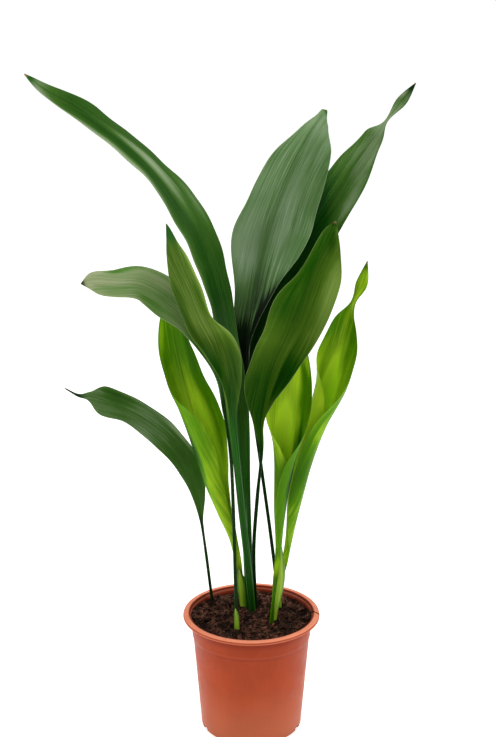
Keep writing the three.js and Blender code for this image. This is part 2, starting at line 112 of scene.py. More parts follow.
# Leaves. Each follows rows from the soil to its tip:
# x, y, z, half width, roll, turn of the left half, turn of the right half (mm and degrees).
# blade is the row at which the stalk becomes blade. crease shares the turn between a sharp fold
# at the midrib and an even curl. sides are the width shares of the two halves.
# wave is the height, count and phase of the margin's waves. foot is where a stalk that leans in
# the soil grows from; the others stand straight under their first row.
# STALK_SHARES are the keel's shares of the half width between which a leaf becomes all stalk, and
# BLADE_HALF_WIDTHS the half widths between which its pleats and its buckling grow. COLUMN_POWER
# brings the columns closer together at the midrib.
STEM_FOOT = 120
FOOT_HALF_WIDTH = 0.5
KEEL_DEPTH = 1.25
MARGIN_PHASE = 1.7
STALK_SHARES = (0.25, 0.8)
BLADE_HALF_WIDTHS = (5, 16)
COLUMN_POWER = 1.6
CREASE_REACH = 0.035
SECTION_STEPS = 240
LEAF_SHARP = 55
LEAF_SUBSURFACE = {"Subsurface Radius": (0.4, 0.9, 0.1), "Subsurface Scale": 0.002}
LEAVES = {
    "a": dict(
        green="dark", blade=5, crease=0.7, wave=(1.8, 2.5, 0.5),
        rows=[
            (-4, 26, 148, 2.6, 0, 20, 20), (-7, 22, 213, 2.6, 0, 20, 20), (-9, 19, 289, 3, -20, 20, 20),
            (-12, 17, 360, 6, -40, 20, 20), (-17, 15, 430, 15, -52, 12, 12), (-29, 3, 501, 26, -66, 8, 8),
            (-40, -12, 571, 38, -72, 6, 6), (-59, -26, 638, 42, -74, 3, 3),
            (-86, -40, 693, 41, -76, -2, -2), (-118, -54, 737, 36, -79, -2, -2),
            (-154, -68, 772, 29, -79, -2, -2), (-192, -80, 802, 20, -71, -2, -2),
            (-225, -88, 823, 10, -60, -3, -3), (-246, -92, 840, 0.6, -50, 0, 0),
        ],
    ),
    "b": dict(
        green="pale", blade=5, crease=0.8, sides=(0.88, 1.05), wave=(3, 2.5, 0),
        rows=[
            (-1, 41, 145, 2.6, 0, 20, 20), (-2, 44, 217, 2.6, 0, 20, 20), (-4, 47, 291, 2.6, 0, 20, 20),
            (-5, 50, 363, 2.8, 10, 25, 25), (-7, 54, 429, 6, 25, 35, 35), (-5, 58, 492, 19, 38, 38, 42),
            (4, 64, 548, 29, 24, 26, 32), (15, 72, 601, 47, 16, 20, 20), (28, 82, 649, 48, -14, 17, 17),
            (46, 93, 693, 46, -22, 18, 18), (67, 104, 732, 33, -34, 26, 26),
            (82, 114, 752, 15, -34, 20, 20), (91, 122, 760, 0.6, 0, 0, 0),
        ],
    ),
    "c": dict(
        green="dark", blade=6, crease=0.8, wave=(2, 2, 1),
        rows=[
            (35, 31, 147, 2, 0, 20, 20), (25, 42, 232, 1.9, 0, 20, 20), (12, 58, 326, 1.9, 0, 20, 20),
            (2, 72, 401, 2.5, 0, 30, 30), (1, 82, 456, 7, 0, 30, 30), (13, 92, 511, 20, 0, 25, 25),
            (35, 104, 559, 31, 0, 22, 22), (63, 116, 600, 34, -5, 22, 22), (93, 130, 641, 29, -8, 20, 20),
            (121, 144, 682, 26, -12, 18, 18), (147, 156, 716, 14, 0, 14, 14), (164, 164, 738, 7, 82, 0, 0),
            (185, 172, 762, 7, 30, 0, 0), (202, 178, 783, 0.6, 10, 0, 0),
        ],
    ),
    "d": dict(
        green="olive", blade=5, crease=0.8, wave=(1.5, 2, 0),
        rows=[
            (1, 18, 147, 4, 0, 25, 25), (-5, 9, 219, 3.8, 0, 25, 25), (-12, -4, 292, 3.8, 0, 25, 25),
            (-18, -18, 363, 4, -10, 25, 25), (-24, -31, 425, 7, -40, 30, 30),
            (-30, -39, 474, 19, -40, 38, 38), (-40, -46, 520, 26, -12, 40, 40),
            (-56, -50, 558, 25, 28, 35, 38), (-73, -54, 599, 20.5, 28, 26, 22),
            (-85, -60, 630, 12, 20, 20, 16), (-91, -64, 650, 5.8, 10, 10, 25),
            (-96, -67, 667, 0.6, 0, 0, 0),
        ],
    ),
    "e": dict(
        green="pale", blade=7, crease=0.6, wave=(1.5, 2, 0),
        rows=[
            (-18, -30, 147, 2, 0, 20, 20), (-20, -21, 220, 1.8, 0, 20, 20), (-22, -16, 297, 1.8, 0, 20, 20),
            (-25, -15, 368, 1.8, 0, 20, 20), (-32, -14, 425, 2.2, -30, 20, 20),
            (-39, -14, 467, 8, -58, 12, 12), (-53, -14, 506, 20, -62, 6, 6), (-72, -15, 539, 28, -60, 4, 4),
            (-97, -18, 564, 30, -58, 2, 2), (-127, -26, 585, 27, -58, -2, -2),
            (-157, -38, 590, 21.5, -58, -6, -8), (-179, -48, 594, 14.5, -48, -8, -8),
            (-195, -56, 594, 0.6, -30, 0, 0),
        ],
    ),
    "f": dict(
        green="lime", blade=3, crease=0.1, sides=(1.2, 0.84), wave=(1, 2, 0),
        rows=[
            (-10, 32, 147, 2.6, 0, 20, 20), (-14, 32, 191, 4, 0, 25, 25), (-23, 30, 237, 12, -10, 105, 60),
            (-36, 27, 279, 25, -10, 115, 58), (-49, 24, 323, 37, -8, 117, 48),
            (-60, 20, 369, 44, -8, 114, 34), (-72, 15, 417, 43, -8, 94, 26), (-82, 10, 459, 31, -5, 56, 20),
            (-90, 6, 500, 22.5, -6, 34, 18), (-94, 7, 536, 12.5, -5, 20, 16), (-93, 9, 566, 0.6, 0, 0, 0),
        ],
    ),
    "g": dict(
        green="dark", blade=4, crease=0.6, wave=(1.8, 2.5, 0), foot=(-44, 42),
        rows=[
            (-50, 47, 149, 1.7, 0, 20, 20), (-56, 45, 203, 1.6, 0, 20, 20), (-62, 42, 255, 2, 0, 20, 20),
            (-66, 38, 294, 9, -18, 22, 22), (-76, 33, 334, 17.5, -42, 2, 2),
            (-97, 26, 370, 20.5, -52, -4, -4), (-122, 18, 397, 21.5, -58, -4, -4),
            (-151, 10, 419, 20.5, -54, -3, -3), (-177, 2, 432, 18.5, -40, -4, -4),
            (-193, -4, 439, 6, -30, -5, -5), (-207, -8, 442, 1.8, 0, 0, 0), (-222, -12, 452, 0.6, 0, 0, 0),
        ],
    ),
    "h": dict(
        green="olive", blade=5, crease=0.75, wave=(2, 2.5, 0),
        rows=[
            (5, 33, 148, 2, 0, 20, 20), (3, 26, 225, 2, 0, 20, 20), (7, 14, 298, 2, 0, 20, 20),
            (12, 4, 361, 2, 0, 25, 25), (11, -4, 403, 9, 30, 30, 40), (17, -10, 444, 26, 32, 30, 42),
            (27, -15, 485, 31, 8, 29, 31), (43, -20, 523, 35, -4, 26, 34), (57, -24, 561, 38, -9, 21, 22),
            (70, -27, 601, 36, -30, 32, 28), (85, -29, 635, 18.5, -18, 30, 20),
            (96, -31, 661, 0.6, 0, 0, 0),
        ],
    ),
    "i": dict(
        green="lime", blade=3, crease=0.1, sides=(0.83, 1.03), wave=(0.4, 2, 0),
        rows=[
            (28, -3, 148, 2.2, 0, 12, 12), (37, 4, 199, 2.6, 0, 22, 22), (46, 16, 246, 15, 14, 118, 80),
            (53, 26, 295, 38, 12, 124, 97), (63, 32, 350, 49, 8, 122, 96), (77, 38, 396, 51, 6, 114, 88),
            (91, 44, 435, 49, 6, 84, 64), (103, 48, 475, 38, 5, 38, 50), (113, 50, 510, 21.5, 8, 16, 40),
            (122, 52, 539, 7, 70, 0, 0), (132, 54, 563, 8, 24, 0, 0), (139, 56, 590, 0.6, 0, 0, 0),
        ],
    ),
    "j": dict(
        green="lime", blade=3, crease=0.1, sides=(0.8, 1.02), wave=(0.4, 2, 0),
        rows=[
            (25, -15, 148, 2.4, 0, 15, 15), (29, -12, 199, 2.7, 0, 25, 25), (33, -4, 244, 13, 10, 112, 84),
            (34, 4, 294, 31, 8, 122, 94), (37, 10, 344, 44, 4, 110, 86), (41, 17, 397, 45, 0, 52, 54),
            (46, 18, 448, 36, 4, 26, 38), (51, 21, 491, 18, 4, 15, 24), (56, 26, 526, 0.6, 0, 0, 0),
        ],
    ),
}

# Sheath scales clasp the front of a stalk: the stalk's leaf, the scale's clear radius round it
# at the foot and half way up, the height of its tip, and how far the tip stands to the right
# and ahead of the stalk. The wraps are the angles that it goes round the stalk, in radians.
SHEATHS = {
    "sheath_c": dict(stem="c", radius=3, middle=3.2, tip=162, lean=-1, ahead=0),
    "sheath_e": dict(stem="e", radius=2.8, middle=3, tip=172, lean=-1, ahead=0.5),
    "sheath_f": dict(stem="f", radius=4.3, middle=5.9, tip=199, lean=0, ahead=1.5),
    "sheath_i": dict(stem="i", radius=3.6, middle=5.6, tip=240, lean=-8, ahead=11),
}
WRAP = 2.1
WRAP_HALF_WAY = 1.5
WRAP_AT_TIP = 0.16
AXIS_STEPS = 2000

# How each leaf's green runs across it from the left margin to the right one, and along its blade.
# The runs hold the leaf's own tone and painted light and shade: shadows that other leaves cast,
# halves darker and lighter by how they face the light, and bands of painted sheen. A shade of -1 is
# the deep green of its kind, 0 the plain one and 1 the light one, and it goes on down to
# DARKEST_SHADE for the deepest painted shadows. Each patch is a place across (-1 to 1) and along
# (0 to 1), its two reaches and the shade that it adds on both sides of the leaf; the patches paint
# shadows and highlights as well as the leaf's own darker and lighter places. rib is the shade that
# the midrib adds, below 0 a painted shade in its crease, lines the contrast of the fine lines, which
# are veins with painted glints, back the under side's shade, margin the strength of the pale
# margin, and gloss the specular level. stalk dims the stalk's colour, and palette names the kind of
# green where it isn't the leaf's own.
DARKEST_SHADE = -1.8
LOOKS = {
    "a": dict(
        across=[(0, 0.35), (0.08, -0.35), (0.25, -0.75), (0.45, -0.7), (0.56, -0.5), (0.75, -0.5), (1, -0.4)],
        along=[(0, 0), (0.22, -0.2), (0.37, 0.1), (0.6, 0), (0.8, 0), (0.92, 0.85), (1, 1.3)],
        patches=[
            (0.15, 0.53, 0.4, 0.17, 1.3), (0.8, 0.4, 0.35, 0.12, 0.5), (-0.9, 0.64, 0.3, 0.2, 1),
            (-0.6, 0.95, 0.7, 0.12, 0.6), (0, 0.66, 0.25, 0.1, 0.4), (0.4, 0.5, 0.2, 0.1, 0.3),
            (-0.4, 0.82, 0.4, 0.08, 0.3),
        ],
        rib=-0.15, lines=0.5, back=0, margin=0.25, gloss=0.02,
    ),
    "b": dict(
        across=[(0, 0.1), (0.4, 0.05), (0.5, 0), (0.6, 0.15), (1, -0.05)],
        along=[(0, -1.8), (0.11, -1.7), (0.19, -0.6), (0.34, 0.1), (0.65, -0.05), (0.85, 0.3), (1, 0.2)],
        patches=[
            (-0.6, 0.36, 0.6, 0.16, 0.55), (0.2, 0.27, 0.4, 0.14, -0.5), (0.95, 0.18, 0.55, 0.13, -1.8),
            (0.3, 0.5, 0.3, 0.2, 0.3), (-0.5, 0.8, 0.4, 0.08, 0.2),
        ],
        rib=-0.15, lines=1.2, back=0.1, margin=0.25, gloss=0.06,
    ),
    "c": dict(
        across=[(0, -0.15), (0.48, 0), (0.52, 0), (0.9, 0.2), (1, -0.4)],
        along=[
            (0, -1.5), (0.26, -1.6), (0.4, -0.4), (0.5, 0.15), (0.66, 0.4), (0.78, 0.65), (0.88, 0.1),
            (1, 0.4),
        ],
        patches=[
            (-0.7, 0.36, 0.9, 0.12, -0.9), (0.9, 0.38, 0.5, 0.12, 0.8), (-0.7, 0.94, 0.7, 0.08, 1.4),
            (-0.8, 0.62, 0.5, 0.08, -0.3), (0.1, 0.8, 0.3, 0.08, -0.4),
        ],
        rib=-0.1, lines=0.7, back=0, margin=0.2, gloss=0.04, stalk=0.35,
    ),
    "d": dict(
        across=[(0, 0.1), (0.3, 0), (0.46, 0.15), (0.5, 0), (0.56, -0.1), (0.8, -0.1), (1, 0.6)],
        along=[(0, -0.9), (0.2, -0.6), (0.34, 0.45), (0.45, 0.25), (0.6, 0.05), (0.8, -0.05), (1, 0)],
        patches=[
            (-0.7, 0.25, 0.7, 0.16, -0.7), (0.35, 0.5, 0.25, 0.1, -0.6), (-0.9, 0.5, 0.4, 0.1, -0.4),
            (-0.95, 0.37, 0.35, 0.12, -0.8), (0.1, 0.2, 0.25, 0.1, 0.5), (0.9, 0.66, 0.2, 0.14, 0.6),
        ],
        rib=-0.4, lines=1.2, back=0.2, margin=0.25, gloss=0.06,
    ),
    "e": dict(
        palette="faded",
        across=[(0, 0.15), (0.35, 0.05), (0.5, 0.1), (0.7, 0.1), (1, 0.2)],
        along=[
            (0, -0.6), (0.1, -0.1), (0.2, 0.25), (0.35, 0.2), (0.5, 0.3), (0.65, 0.5), (0.85, 0.6),
            (1, 0.9),
        ],
        patches=[
            (0.05, 0.8, 0.2, 0.3, 0.5), (0.85, 0.82, 0.25, 0.1, 0.7), (-0.6, 0.7, 0.4, 0.25, -0.25),
            (0.85, 0.62, 0.3, 0.14, -1), (0.2, 0.04, 0.6, 0.08, -0.8), (-0.4, 0.9, 0.3, 0.08, 0.3),
            (0.5, 0.38, 0.4, 0.12, 0.35), (-0.7, 0.46, 0.4, 0.12, -0.3),
        ],
        rib=0.15, lines=1.2, back=0.2, margin=0.25, gloss=0.06, stalk=0.35,
    ),
    "f": dict(
        across=[(0, 0.15), (0.35, 0.1), (0.5, 0.2), (0.7, 0.05), (0.85, -0.5), (1, -0.5)],
        along=[(0, 1.5), (0.25, 1.2), (0.5, 0.4), (0.7, -0.15), (1, -0.1)],
        patches=[
            (0.2, 0.38, 0.4, 0.3, 0.8), (-0.45, 0.37, 0.18, 0.15, -1.6), (0.05, 0.08, 0.4, 0.14, 1.2),
            (-0.8, 0.8, 0.3, 0.1, 0.5),
        ],
        rib=-0.3, lines=0.55, back=-0.12, margin=0.05, gloss=0.05,
    ),
    "g": dict(
        across=[(0, 0.1), (0.15, 0), (0.5, 0.05), (0.7, 0), (1, 0.1)],
        along=[(0, -0.25), (0.2, -0.15), (0.36, 0.1), (0.6, 0.15), (0.8, 0.35), (1, 0.55)],
        patches=[(0.5, 0.55, 0.5, 0.12, -0.6), (-0.8, 0.4, 0.35, 0.1, 0.4), (0.85, 0.24, 0.25, 0.12, 0.8)],
        rib=-0.1, lines=0.7, back=0, margin=0.3, gloss=0.06, stalk=0.35,
    ),
    "h": dict(
        across=[(0, -0.35), (0.25, -0.65), (0.48, -0.6), (0.52, -0.4), (0.75, -0.1), (1, 0.15)],
        along=[(0, -0.4), (0.2, -0.2), (0.38, 0.35), (0.5, -0.1), (0.65, -0.25), (0.85, -0.2), (1, 0)],
        patches=[
            (0.8, 0.66, 0.5, 0.2, 1), (-0.6, 0.38, 0.6, 0.14, 0.25), (0.75, 0.28, 0.6, 0.18, -1.3),
            (0.4, 0.9, 0.4, 0.1, -0.5),
        ],
        rib=-0.3, lines=1.1, back=0.1, margin=0.3, gloss=0.02, stalk=0.35,
    ),
    "i": dict(
        across=[(0, -0.2), (0.3, 0), (0.5, 0.3), (0.66, 0.1), (0.85, 0), (1, 0.1)],
        along=[(0, 1), (0.3, 0.9), (0.45, 0.35), (0.65, 0), (0.8, 0.15), (1, 0.4)],
        patches=[
            (0.05, 0.4, 0.3, 0.2, 1.6), (0.45, 0.8, 0.4, 0.1, 0.6), (-0.8, 0.3, 0.5, 0.35, 1.4),
            (0.8, 0.96, 0.5, 0.1, 0.5), (0.8, 0.2, 0.4, 0.12, -0.8),
        ],
        rib=0, lines=0.65, back=-0.15, margin=0.1, gloss=0.05,
    ),
    "j": dict(
        across=[(0, 0.1), (0.3, 0.4), (0.5, 0.6), (0.64, 0.4), (0.76, -0.4), (1, -0.4)],
        along=[(0, 0.9), (0.4, 0.5), (0.6, 0.1), (1, 0)],
        patches=[
            (-0.1, 0.4, 0.35, 0.22, 1.5), (0.3, 0.72, 0.3, 0.14, 0.5), (-0.9, 0.45, 0.4, 0.15, 0.5),
            (0.5, 0.32, 0.28, 0.2, -1.9), (0.8, 0.8, 0.3, 0.12, 1),
        ],
        rib=0, lines=0.65, back=-0.3, margin=0.1, gloss=0.05,
    ),
}

# Every kind of green has a deep, a plain and a light tone.
TONES = {"deep": "Shaded part", "face": "Plain part", "light": "Light part"}
GREENS = {
    "dark": ("0c3c02", "3e6422", "8c9f7a"),
    "olive": ("144400", "4a6a18", "809c46"),
    "pale": ("0c2008", "587a46", "9ab08e"),
    "faded": ("1c5210", "5e9038", "b4bc90"),
    "lime": ("285800", "528604", "c2e62c"),
}
YOUNG_GREEN = "lime"


def linear(code):
    """The linear colour of a hex code such as "b85a38"."""
    parts = [int(code[k:k + 2], 16) / 255 for k in (0, 2, 4)]
    return tuple(p / 12.92 if p <= 0.04045 else ((p + 0.055) / 1.055) ** 2.4 for p in parts)


def dimmed(colour, factor):
    return [part * factor for part in colour]


def number_property(name, description, value, **options):
    return FloatProperty(name=name, description=description, default=value, min=0, **options)


def length_property(name, description, millimetres):
    return number_property(name, description, millimetres * MM, unit="LENGTH", precision=5)


def count_property(name, description, value, least):
    return IntProperty(name=name, description=description, default=value, min=least)


def colour_property(name, description, code):
    return FloatVectorProperty(
        name=name, description=description, default=linear(code), size=3, min=0, max=1, subtype="COLOR"
    )


class PlantPotSettings(bpy.types.PropertyGroup):
    colour: colour_property("Colour", "Colour of the plastic", "a84019")
    # The rim colour is wear and a painted highlight together.
    rim_wear_and_highlight: colour_property("Rim Colour", "Colour of the worn rim", "ff9c78")
    # The inner colour is the plastic darkened, a painted shade inside the pot.
    inner_shaded_colour: colour_property("Inner Colour", "Colour of the wall inside the pot", "983818")
    roughness: number_property("Roughness", "Roughness of the plastic", 0.42, max=1, subtype="FACTOR")
    segments: count_property("Segments", "Faces round the pot", 192, 24)
    rounding: length_property("Rounding", "Radius of the lip's rounded edges", 1.5)


class PlantSoilSettings(bpy.types.PropertyGroup):
    peat: colour_property("Peat", "Colour of the fine soil", "3a2113")
    bark: colour_property("Bark", "Colour of the bark chips", "98624e")
    fibre: colour_property("Fibre", "Colour of the fibres", "b89674")
    lump_height: length_property("Lump Height", "Height of the soil's lumps", 2.4)
    bark_length: length_property("Bark Length", "Longest bark chip", 12)
    crumb_size: length_property("Crumb Size", "Largest crumb", 4)
    fibre_length: length_property("Fibre Length", "Longest fibre", 26)
    bark_density: number_property("Bark Density", "Bark chips on a square metre", 30000)
    crumb_density: number_property("Crumb Density", "Crumbs on a square metre", 90000)
    fibre_density: number_property("Fibre Density", "Fibres on a square metre", 4500)


class PlantLeafSettings(bpy.types.PropertyGroup):
    thickness: length_property("Thickness", "Thickness of a blade beside its midrib", 0.7)
    margin_thickness: length_property("Margin Thickness", "Thickness of a blade at its margins", 0.35)
    pleat_height: length_property("Pleat Height", "Height of the pleats along a blade", 0.12)
    pleats: count_property("Pleats", "Pleats on each half of a blade", 7, 0)
    buckle: length_property("Buckle", "How far a blade buckles towards its margins", 1.2)
    rings: count_property("Rings", "Rings of points between two rows", 10, 1)
    columns: count_property("Columns", "Columns on each half of a leaf", 28, 4)
    stalk: colour_property("Stalk", "Colour of the stalks", "2c6a1c")
    dry: colour_property("Dry", "Colour of the dry tips", "8a6f42")
    sheath: colour_property("Sheath", "Colour of the sheath scales", "b4e030")
    root: colour_property("Root", "Colour of the rhizome", "8a6a48")


PlantLeafSettings.__annotations__.update({
    f"{green}_{tone}": colour_property(f"{green} {tone}".title(), f"{part} of the {green} leaves", code)
    for green, codes in GREENS.items() for (tone, part), code in zip(TONES.items(), codes)
})


class PlantStageSettings(bpy.types.PropertyGroup):
    floor: colour_property("Floor", "Colour of the floor", "f4f4f2")
    glow: number_property("Floor Glow", "Light that the floor gives off", 0.65)
    surround: number_property("Surround", "Strength of the white surround", 0.4)
    side_power: number_property("Side Light", "Power of each light beside the plant", 15, unit="POWER")
    top_power: number_property("Top Light", "Power of the light above the plant", 28, unit="POWER")


class NodeBuilder:
    """Adds nodes to a tree and links them. Values may be sockets or plain values."""

    def __init__(self, tree):
        self.tree = tree

    def add(self, kind, inputs=None, **settings):
        node = self.tree.nodes.new(kind)
        for key, value in settings.items():
            setattr(node, key, value)
        self.fill(node, inputs or {})
        return node

    def out(self, kind, inputs=None, output=0, **settings):
        """One output of a new node."""
        return self.add(kind, inputs, **settings).outputs[output]

    def put(self, socket, value):
        if isinstance(value, bpy.types.NodeSocket):
            self.tree.links.new(value, socket)
        else:
            socket.default_value = value

    def fill(self, node, values):
        for key, value in values.items():
            self.put(node.inputs[key], value)

    def math(self, operation, a, b=0.0, c=0.0):
        return self.out("ShaderNodeMath", {0: a, 1: b, 2: c}, operation=operation)

    def times(self, a, b):
        return self.math("MULTIPLY", a, b)

    def scaled(self, value, factor, offset):
        """The value times the factor, plus the offset."""
        return self.math("MULTIPLY_ADD", value, factor, offset)

    def length(self, x, y):
        return self.out("ShaderNodeVectorMath", {0: self.combine(x, y)}, "Value", operation="LENGTH")

    def remap(self, value, low, high, to_low=0.0, to_high=1.0, interpolation="SMOOTHSTEP"):
        ends = {"From Min": low, "From Max": high, "To Min": to_low, "To Max": to_high}
        return self.out("ShaderNodeMapRange", {"Value": value, **ends}, interpolation_type=interpolation)

    def combine(self, x, y, z=0.0):
        return self.out("ShaderNodeCombineXYZ", {"X": x, "Y": y, "Z": z})

    def separate(self, vector):
        return self.add("ShaderNodeSeparateXYZ", {0: vector}).outputs[:3]

    def place(self):
        return self.out("ShaderNodeTexCoord", output="Object")

    def stored(self, name):
        """The three values of a vector attribute."""
        return self.separate(self.out("ShaderNodeAttribute", output="Vector", attribute_name=name))

    def noise(self, vector, scale, detail=2.0, roughness=0.5):
        inputs = {"Vector": vector, "Scale": scale, "Detail": detail, "Roughness": roughness}
        return self.out("ShaderNodeTexNoise", inputs)

    def spots(self, vector, scale):
        return self.out("ShaderNodeTexVoronoi", {"Vector": vector, "Scale": scale}, "Distance")

    def ramp(self, value, stops):
        node = self.add("ShaderNodeValToRGB", {0: value})
        elements = node.color_ramp.elements
        while len(elements) < len(stops):
            elements.new(0.5)
        for element, (position, colour) in zip(elements, stops):
            element.position = position
            element.color = (*colour, 1)
        return node.outputs[0]

    def mix(self, factor, a, b):
        node = self.add("ShaderNodeMix", {0: factor}, data_type="RGBA")
        for socket, value in ((node.inputs[6], a), (node.inputs[7], b)):
            self.put(socket, value if isinstance(value, bpy.types.NodeSocket) else (*value, 1))
        return node.outputs[2]

    def layers(self, colour, *coats):
        """The colour under coats of other colours, each with its strength."""
        for strength, coat in coats:
            colour = self.mix(strength, colour, coat)
        return colour

    def bump(self, height, distance, normal=None):
        node = self.add("ShaderNodeBump", {"Height": height, "Distance": distance, "Strength": 1.0})
        if normal is not None:
            self.put(node.inputs["Normal"], normal)
        return node.outputs[0]


def new_material(name, look, *given):
    """A material whose shader has the inputs that the look makes."""
    material = bpy.data.materials.new(name)
    material.use_nodes = True
    nodes = NodeBuilder(material.node_tree)
    nodes.fill(material.node_tree.nodes["Principled BSDF"], look(nodes, *given))
    return material


def add_object(name, data, *materials):
    obj = bpy.data.objects.new(name, data)
    for material in materials:
        data.materials.append(material)
    bpy.context.scene.collection.objects.link(obj)
    return obj


def mesh_from(name, points, faces):
    mesh = bpy.data.meshes.new(name)
    mesh.from_pydata(points, [], faces)
    mesh.validate()
    return mesh


def ring_faces(rings, segments):
    """The faces between rings of points."""
    faces = []
    for low in range(0, (rings - 1) * segments, segments):
        for j in range(segments):
            after = (j + 1) % segments
            faces.append((low + j, low + after, low + segments + after, low + segments + j))
    return faces


def closed_rings(name, points, segments):
    """A closed body of rings. Its last two points are the middles of the first and the last ring."""
    low = len(points) - 2
    last = low - segments
    faces = ring_faces(low // segments, segments)
    for j in range(segments):
        after = (j + 1) % segments
        faces += [(low, after, j), (low + 1, last + j, last + after)]
    return mesh_from(name, points, faces)


def finish_piece(obj, nodes, sharp):
    """Sets a piece's shading and tells the frame what it rides on and replaces."""
    obj.data.shade_smooth()
    obj.data.set_sharp_from_angle(angle=math.radians(sharp))
    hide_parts(*nodes)
    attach(obj, "root")


def apply_modifiers(obj):
    """Puts the evaluated mesh in the object in place of its modifiers."""
    depsgraph = bpy.context.evaluated_depsgraph_get()
    mesh = bpy.data.meshes.new_from_object(obj.evaluated_get(depsgraph))
    obj.modifiers.clear()
    old = obj.data
    obj.data = mesh
    bpy.data.meshes.remove(old)
    mesh.name = obj.name


# Pot
def rounded_profile(corners):
    """A section's points from its corners: their radius, height and rounding in millimetres."""
    out = []
    for k, (*point, rounding) in enumerate(corners):
        if not rounding:
            out.append(tuple(point))
            continue
        corner = Vector(point)
        before = Vector(corners[k - 1][:2]) - corner
        after = Vector(corners[k + 1][:2]) - corner
        reach = min(rounding, 0.45 * before.length, 0.45 * after.length)
        start = corner + before.normalized() * reach
        end = corner + after.normalized() * reach
        for s in range(ROUNDING_STEPS + 1):
            t = s / ROUNDING_STEPS
            spot = start * (1 - t) ** 2 + corner * 2 * t * (1 - t) + end * t ** 2
            out.append((spot.x, spot.y))
    return out


def pot_profile(rounding):
    """The pot's section, from the middle of its underside to the middle of its floor."""
    lip = [
        (RIM_RADIUS - 0.7, RIM_UNDERSIDE), (RIM_RADIUS, RIM_UNDERSIDE + 0.7),
        (RIM_RADIUS, RIM_UNDERSIDE + 1.7), (RIM_RADIUS - 1, RIM_UNDERSIDE + 2.4),
        (RIM_RADIUS - 0.3, RIM_UNDERSIDE + 3.1), (RIM_RADIUS - 0.9, POT_HEIGHT - 0.5),
        (RIM_RADIUS - 2.6, POT_HEIGHT), (RIM_INNER_RADIUS + 0.7, POT_HEIGHT),
    ]
    return rounded_profile([
        (0, 0, 0), (PAD_RADIUS, 0, 1), (PAD_RADIUS + 2, GROOVE_DEPTH, 1), (FOOT_INNER - 2, GROOVE_DEPTH, 1),
        (FOOT_INNER, 0, 1), (FOOT_OUTER, 0, 1.5), (BASE_RADIUS + 0.2, 2.5, 1.5),
        (WALL_TOP_RADIUS - 0.1, COLLAR_LOW - 1, 1), (WALL_TOP_RADIUS + 1.1, COLLAR_LOW + 2, 1),
        (COLLAR_TOP_RADIUS - 0.8, RIM_UNDERSIDE - 1.6, 1), (COLLAR_TOP_RADIUS, RIM_UNDERSIDE, 1),
        *[(*point, rounding) for point in lip], (RIM_INNER_RADIUS - 0.1, POT_HEIGHT - 2, 1),
        *[(*point, 1) for point in INNER_WALL[:-1]], (*INNER_WALL[-1], 0), (0, FLOOR_TOP, 0),
    ])


def pot_mesh(rounding, segments):
    profile = pot_profile(rounding)
    angles = np.linspace(0, 2 * np.pi, segments, endpoint=False)
    radius, level = np.array(profile[1:-1]).T
    x = np.outer(radius, np.cos(angles))
    y = np.outer(radius, np.sin(angles))
    z = np.repeat(level[:, None], segments, axis=1)
    points = np.stack([x, y, z], axis=-1).reshape(-1, 3)
    points = np.vstack([points, [0, 0, profile[0][1]], [0, 0, profile[-1][1]]]) * MM
    return closed_rings("nursery_pot", points.tolist(), segments)


def box_points(size, centre, angle):
    """The corners of a box turned about Z, in metres, with faces that point outwards."""
    corners = []
    turn = math.radians(angle)
    for dz in (-0.5, 0.5):
        for dx, dy in ((-0.5, -0.5), (0.5, -0.5), (0.5, 0.5), (-0.5, 0.5)):
            x = centre[0] + dx * size[0]
            y = centre[1] + dy * size[1]
            corners.append((
                (x * math.cos(turn) - y * math.sin(turn)) * MM,
                (x * math.sin(turn) + y * math.cos(turn)) * MM,
                (centre[2] + dz * size[2]) * MM,
            ))
    faces = [(3, 2, 1, 0), (4, 5, 6, 7), (0, 1, 5, 4), (1, 2, 6, 5), (2, 3, 7, 6), (3, 0, 4, 7)]
    return corners, faces


def slit_place():
    """The middle of the slit, measured along it and across it."""
    x, y = SLIT_PLACE
    turn = math.radians(SLIT_ANGLE)
    return x * math.cos(turn) + y * math.sin(turn), y * math.cos(turn) - x * math.sin(turn)


def pot_cutters():
    """One mesh with a box for each drain hole and one for the slit in the rim."""
    hole = (2 * DRAIN_REACH, DRAIN_WIDTH, 2 * DRAIN_HEIGHT)
    angles = [DRAIN_FIRST_ANGLE + 360 / DRAIN_COUNT * k for k in range(DRAIN_COUNT)]
    boxes = [box_points(hole, (BASE_RADIUS + 1, 0, 0), angle) for angle in angles]
    slit = (SLIT_LENGTH, SLIT_WIDTH, SLIT_CUTTER_HEIGHT)
    boxes.append(box_points(slit, (*slit_place(), POT_HEIGHT), SLIT_ANGLE))
    points, faces = [], []
    for corners, sides in boxes:
        faces += [tuple(len(points) + k for k in side) for side in sides]
        points += corners
    return mesh_from("pot_cutters", points, faces)


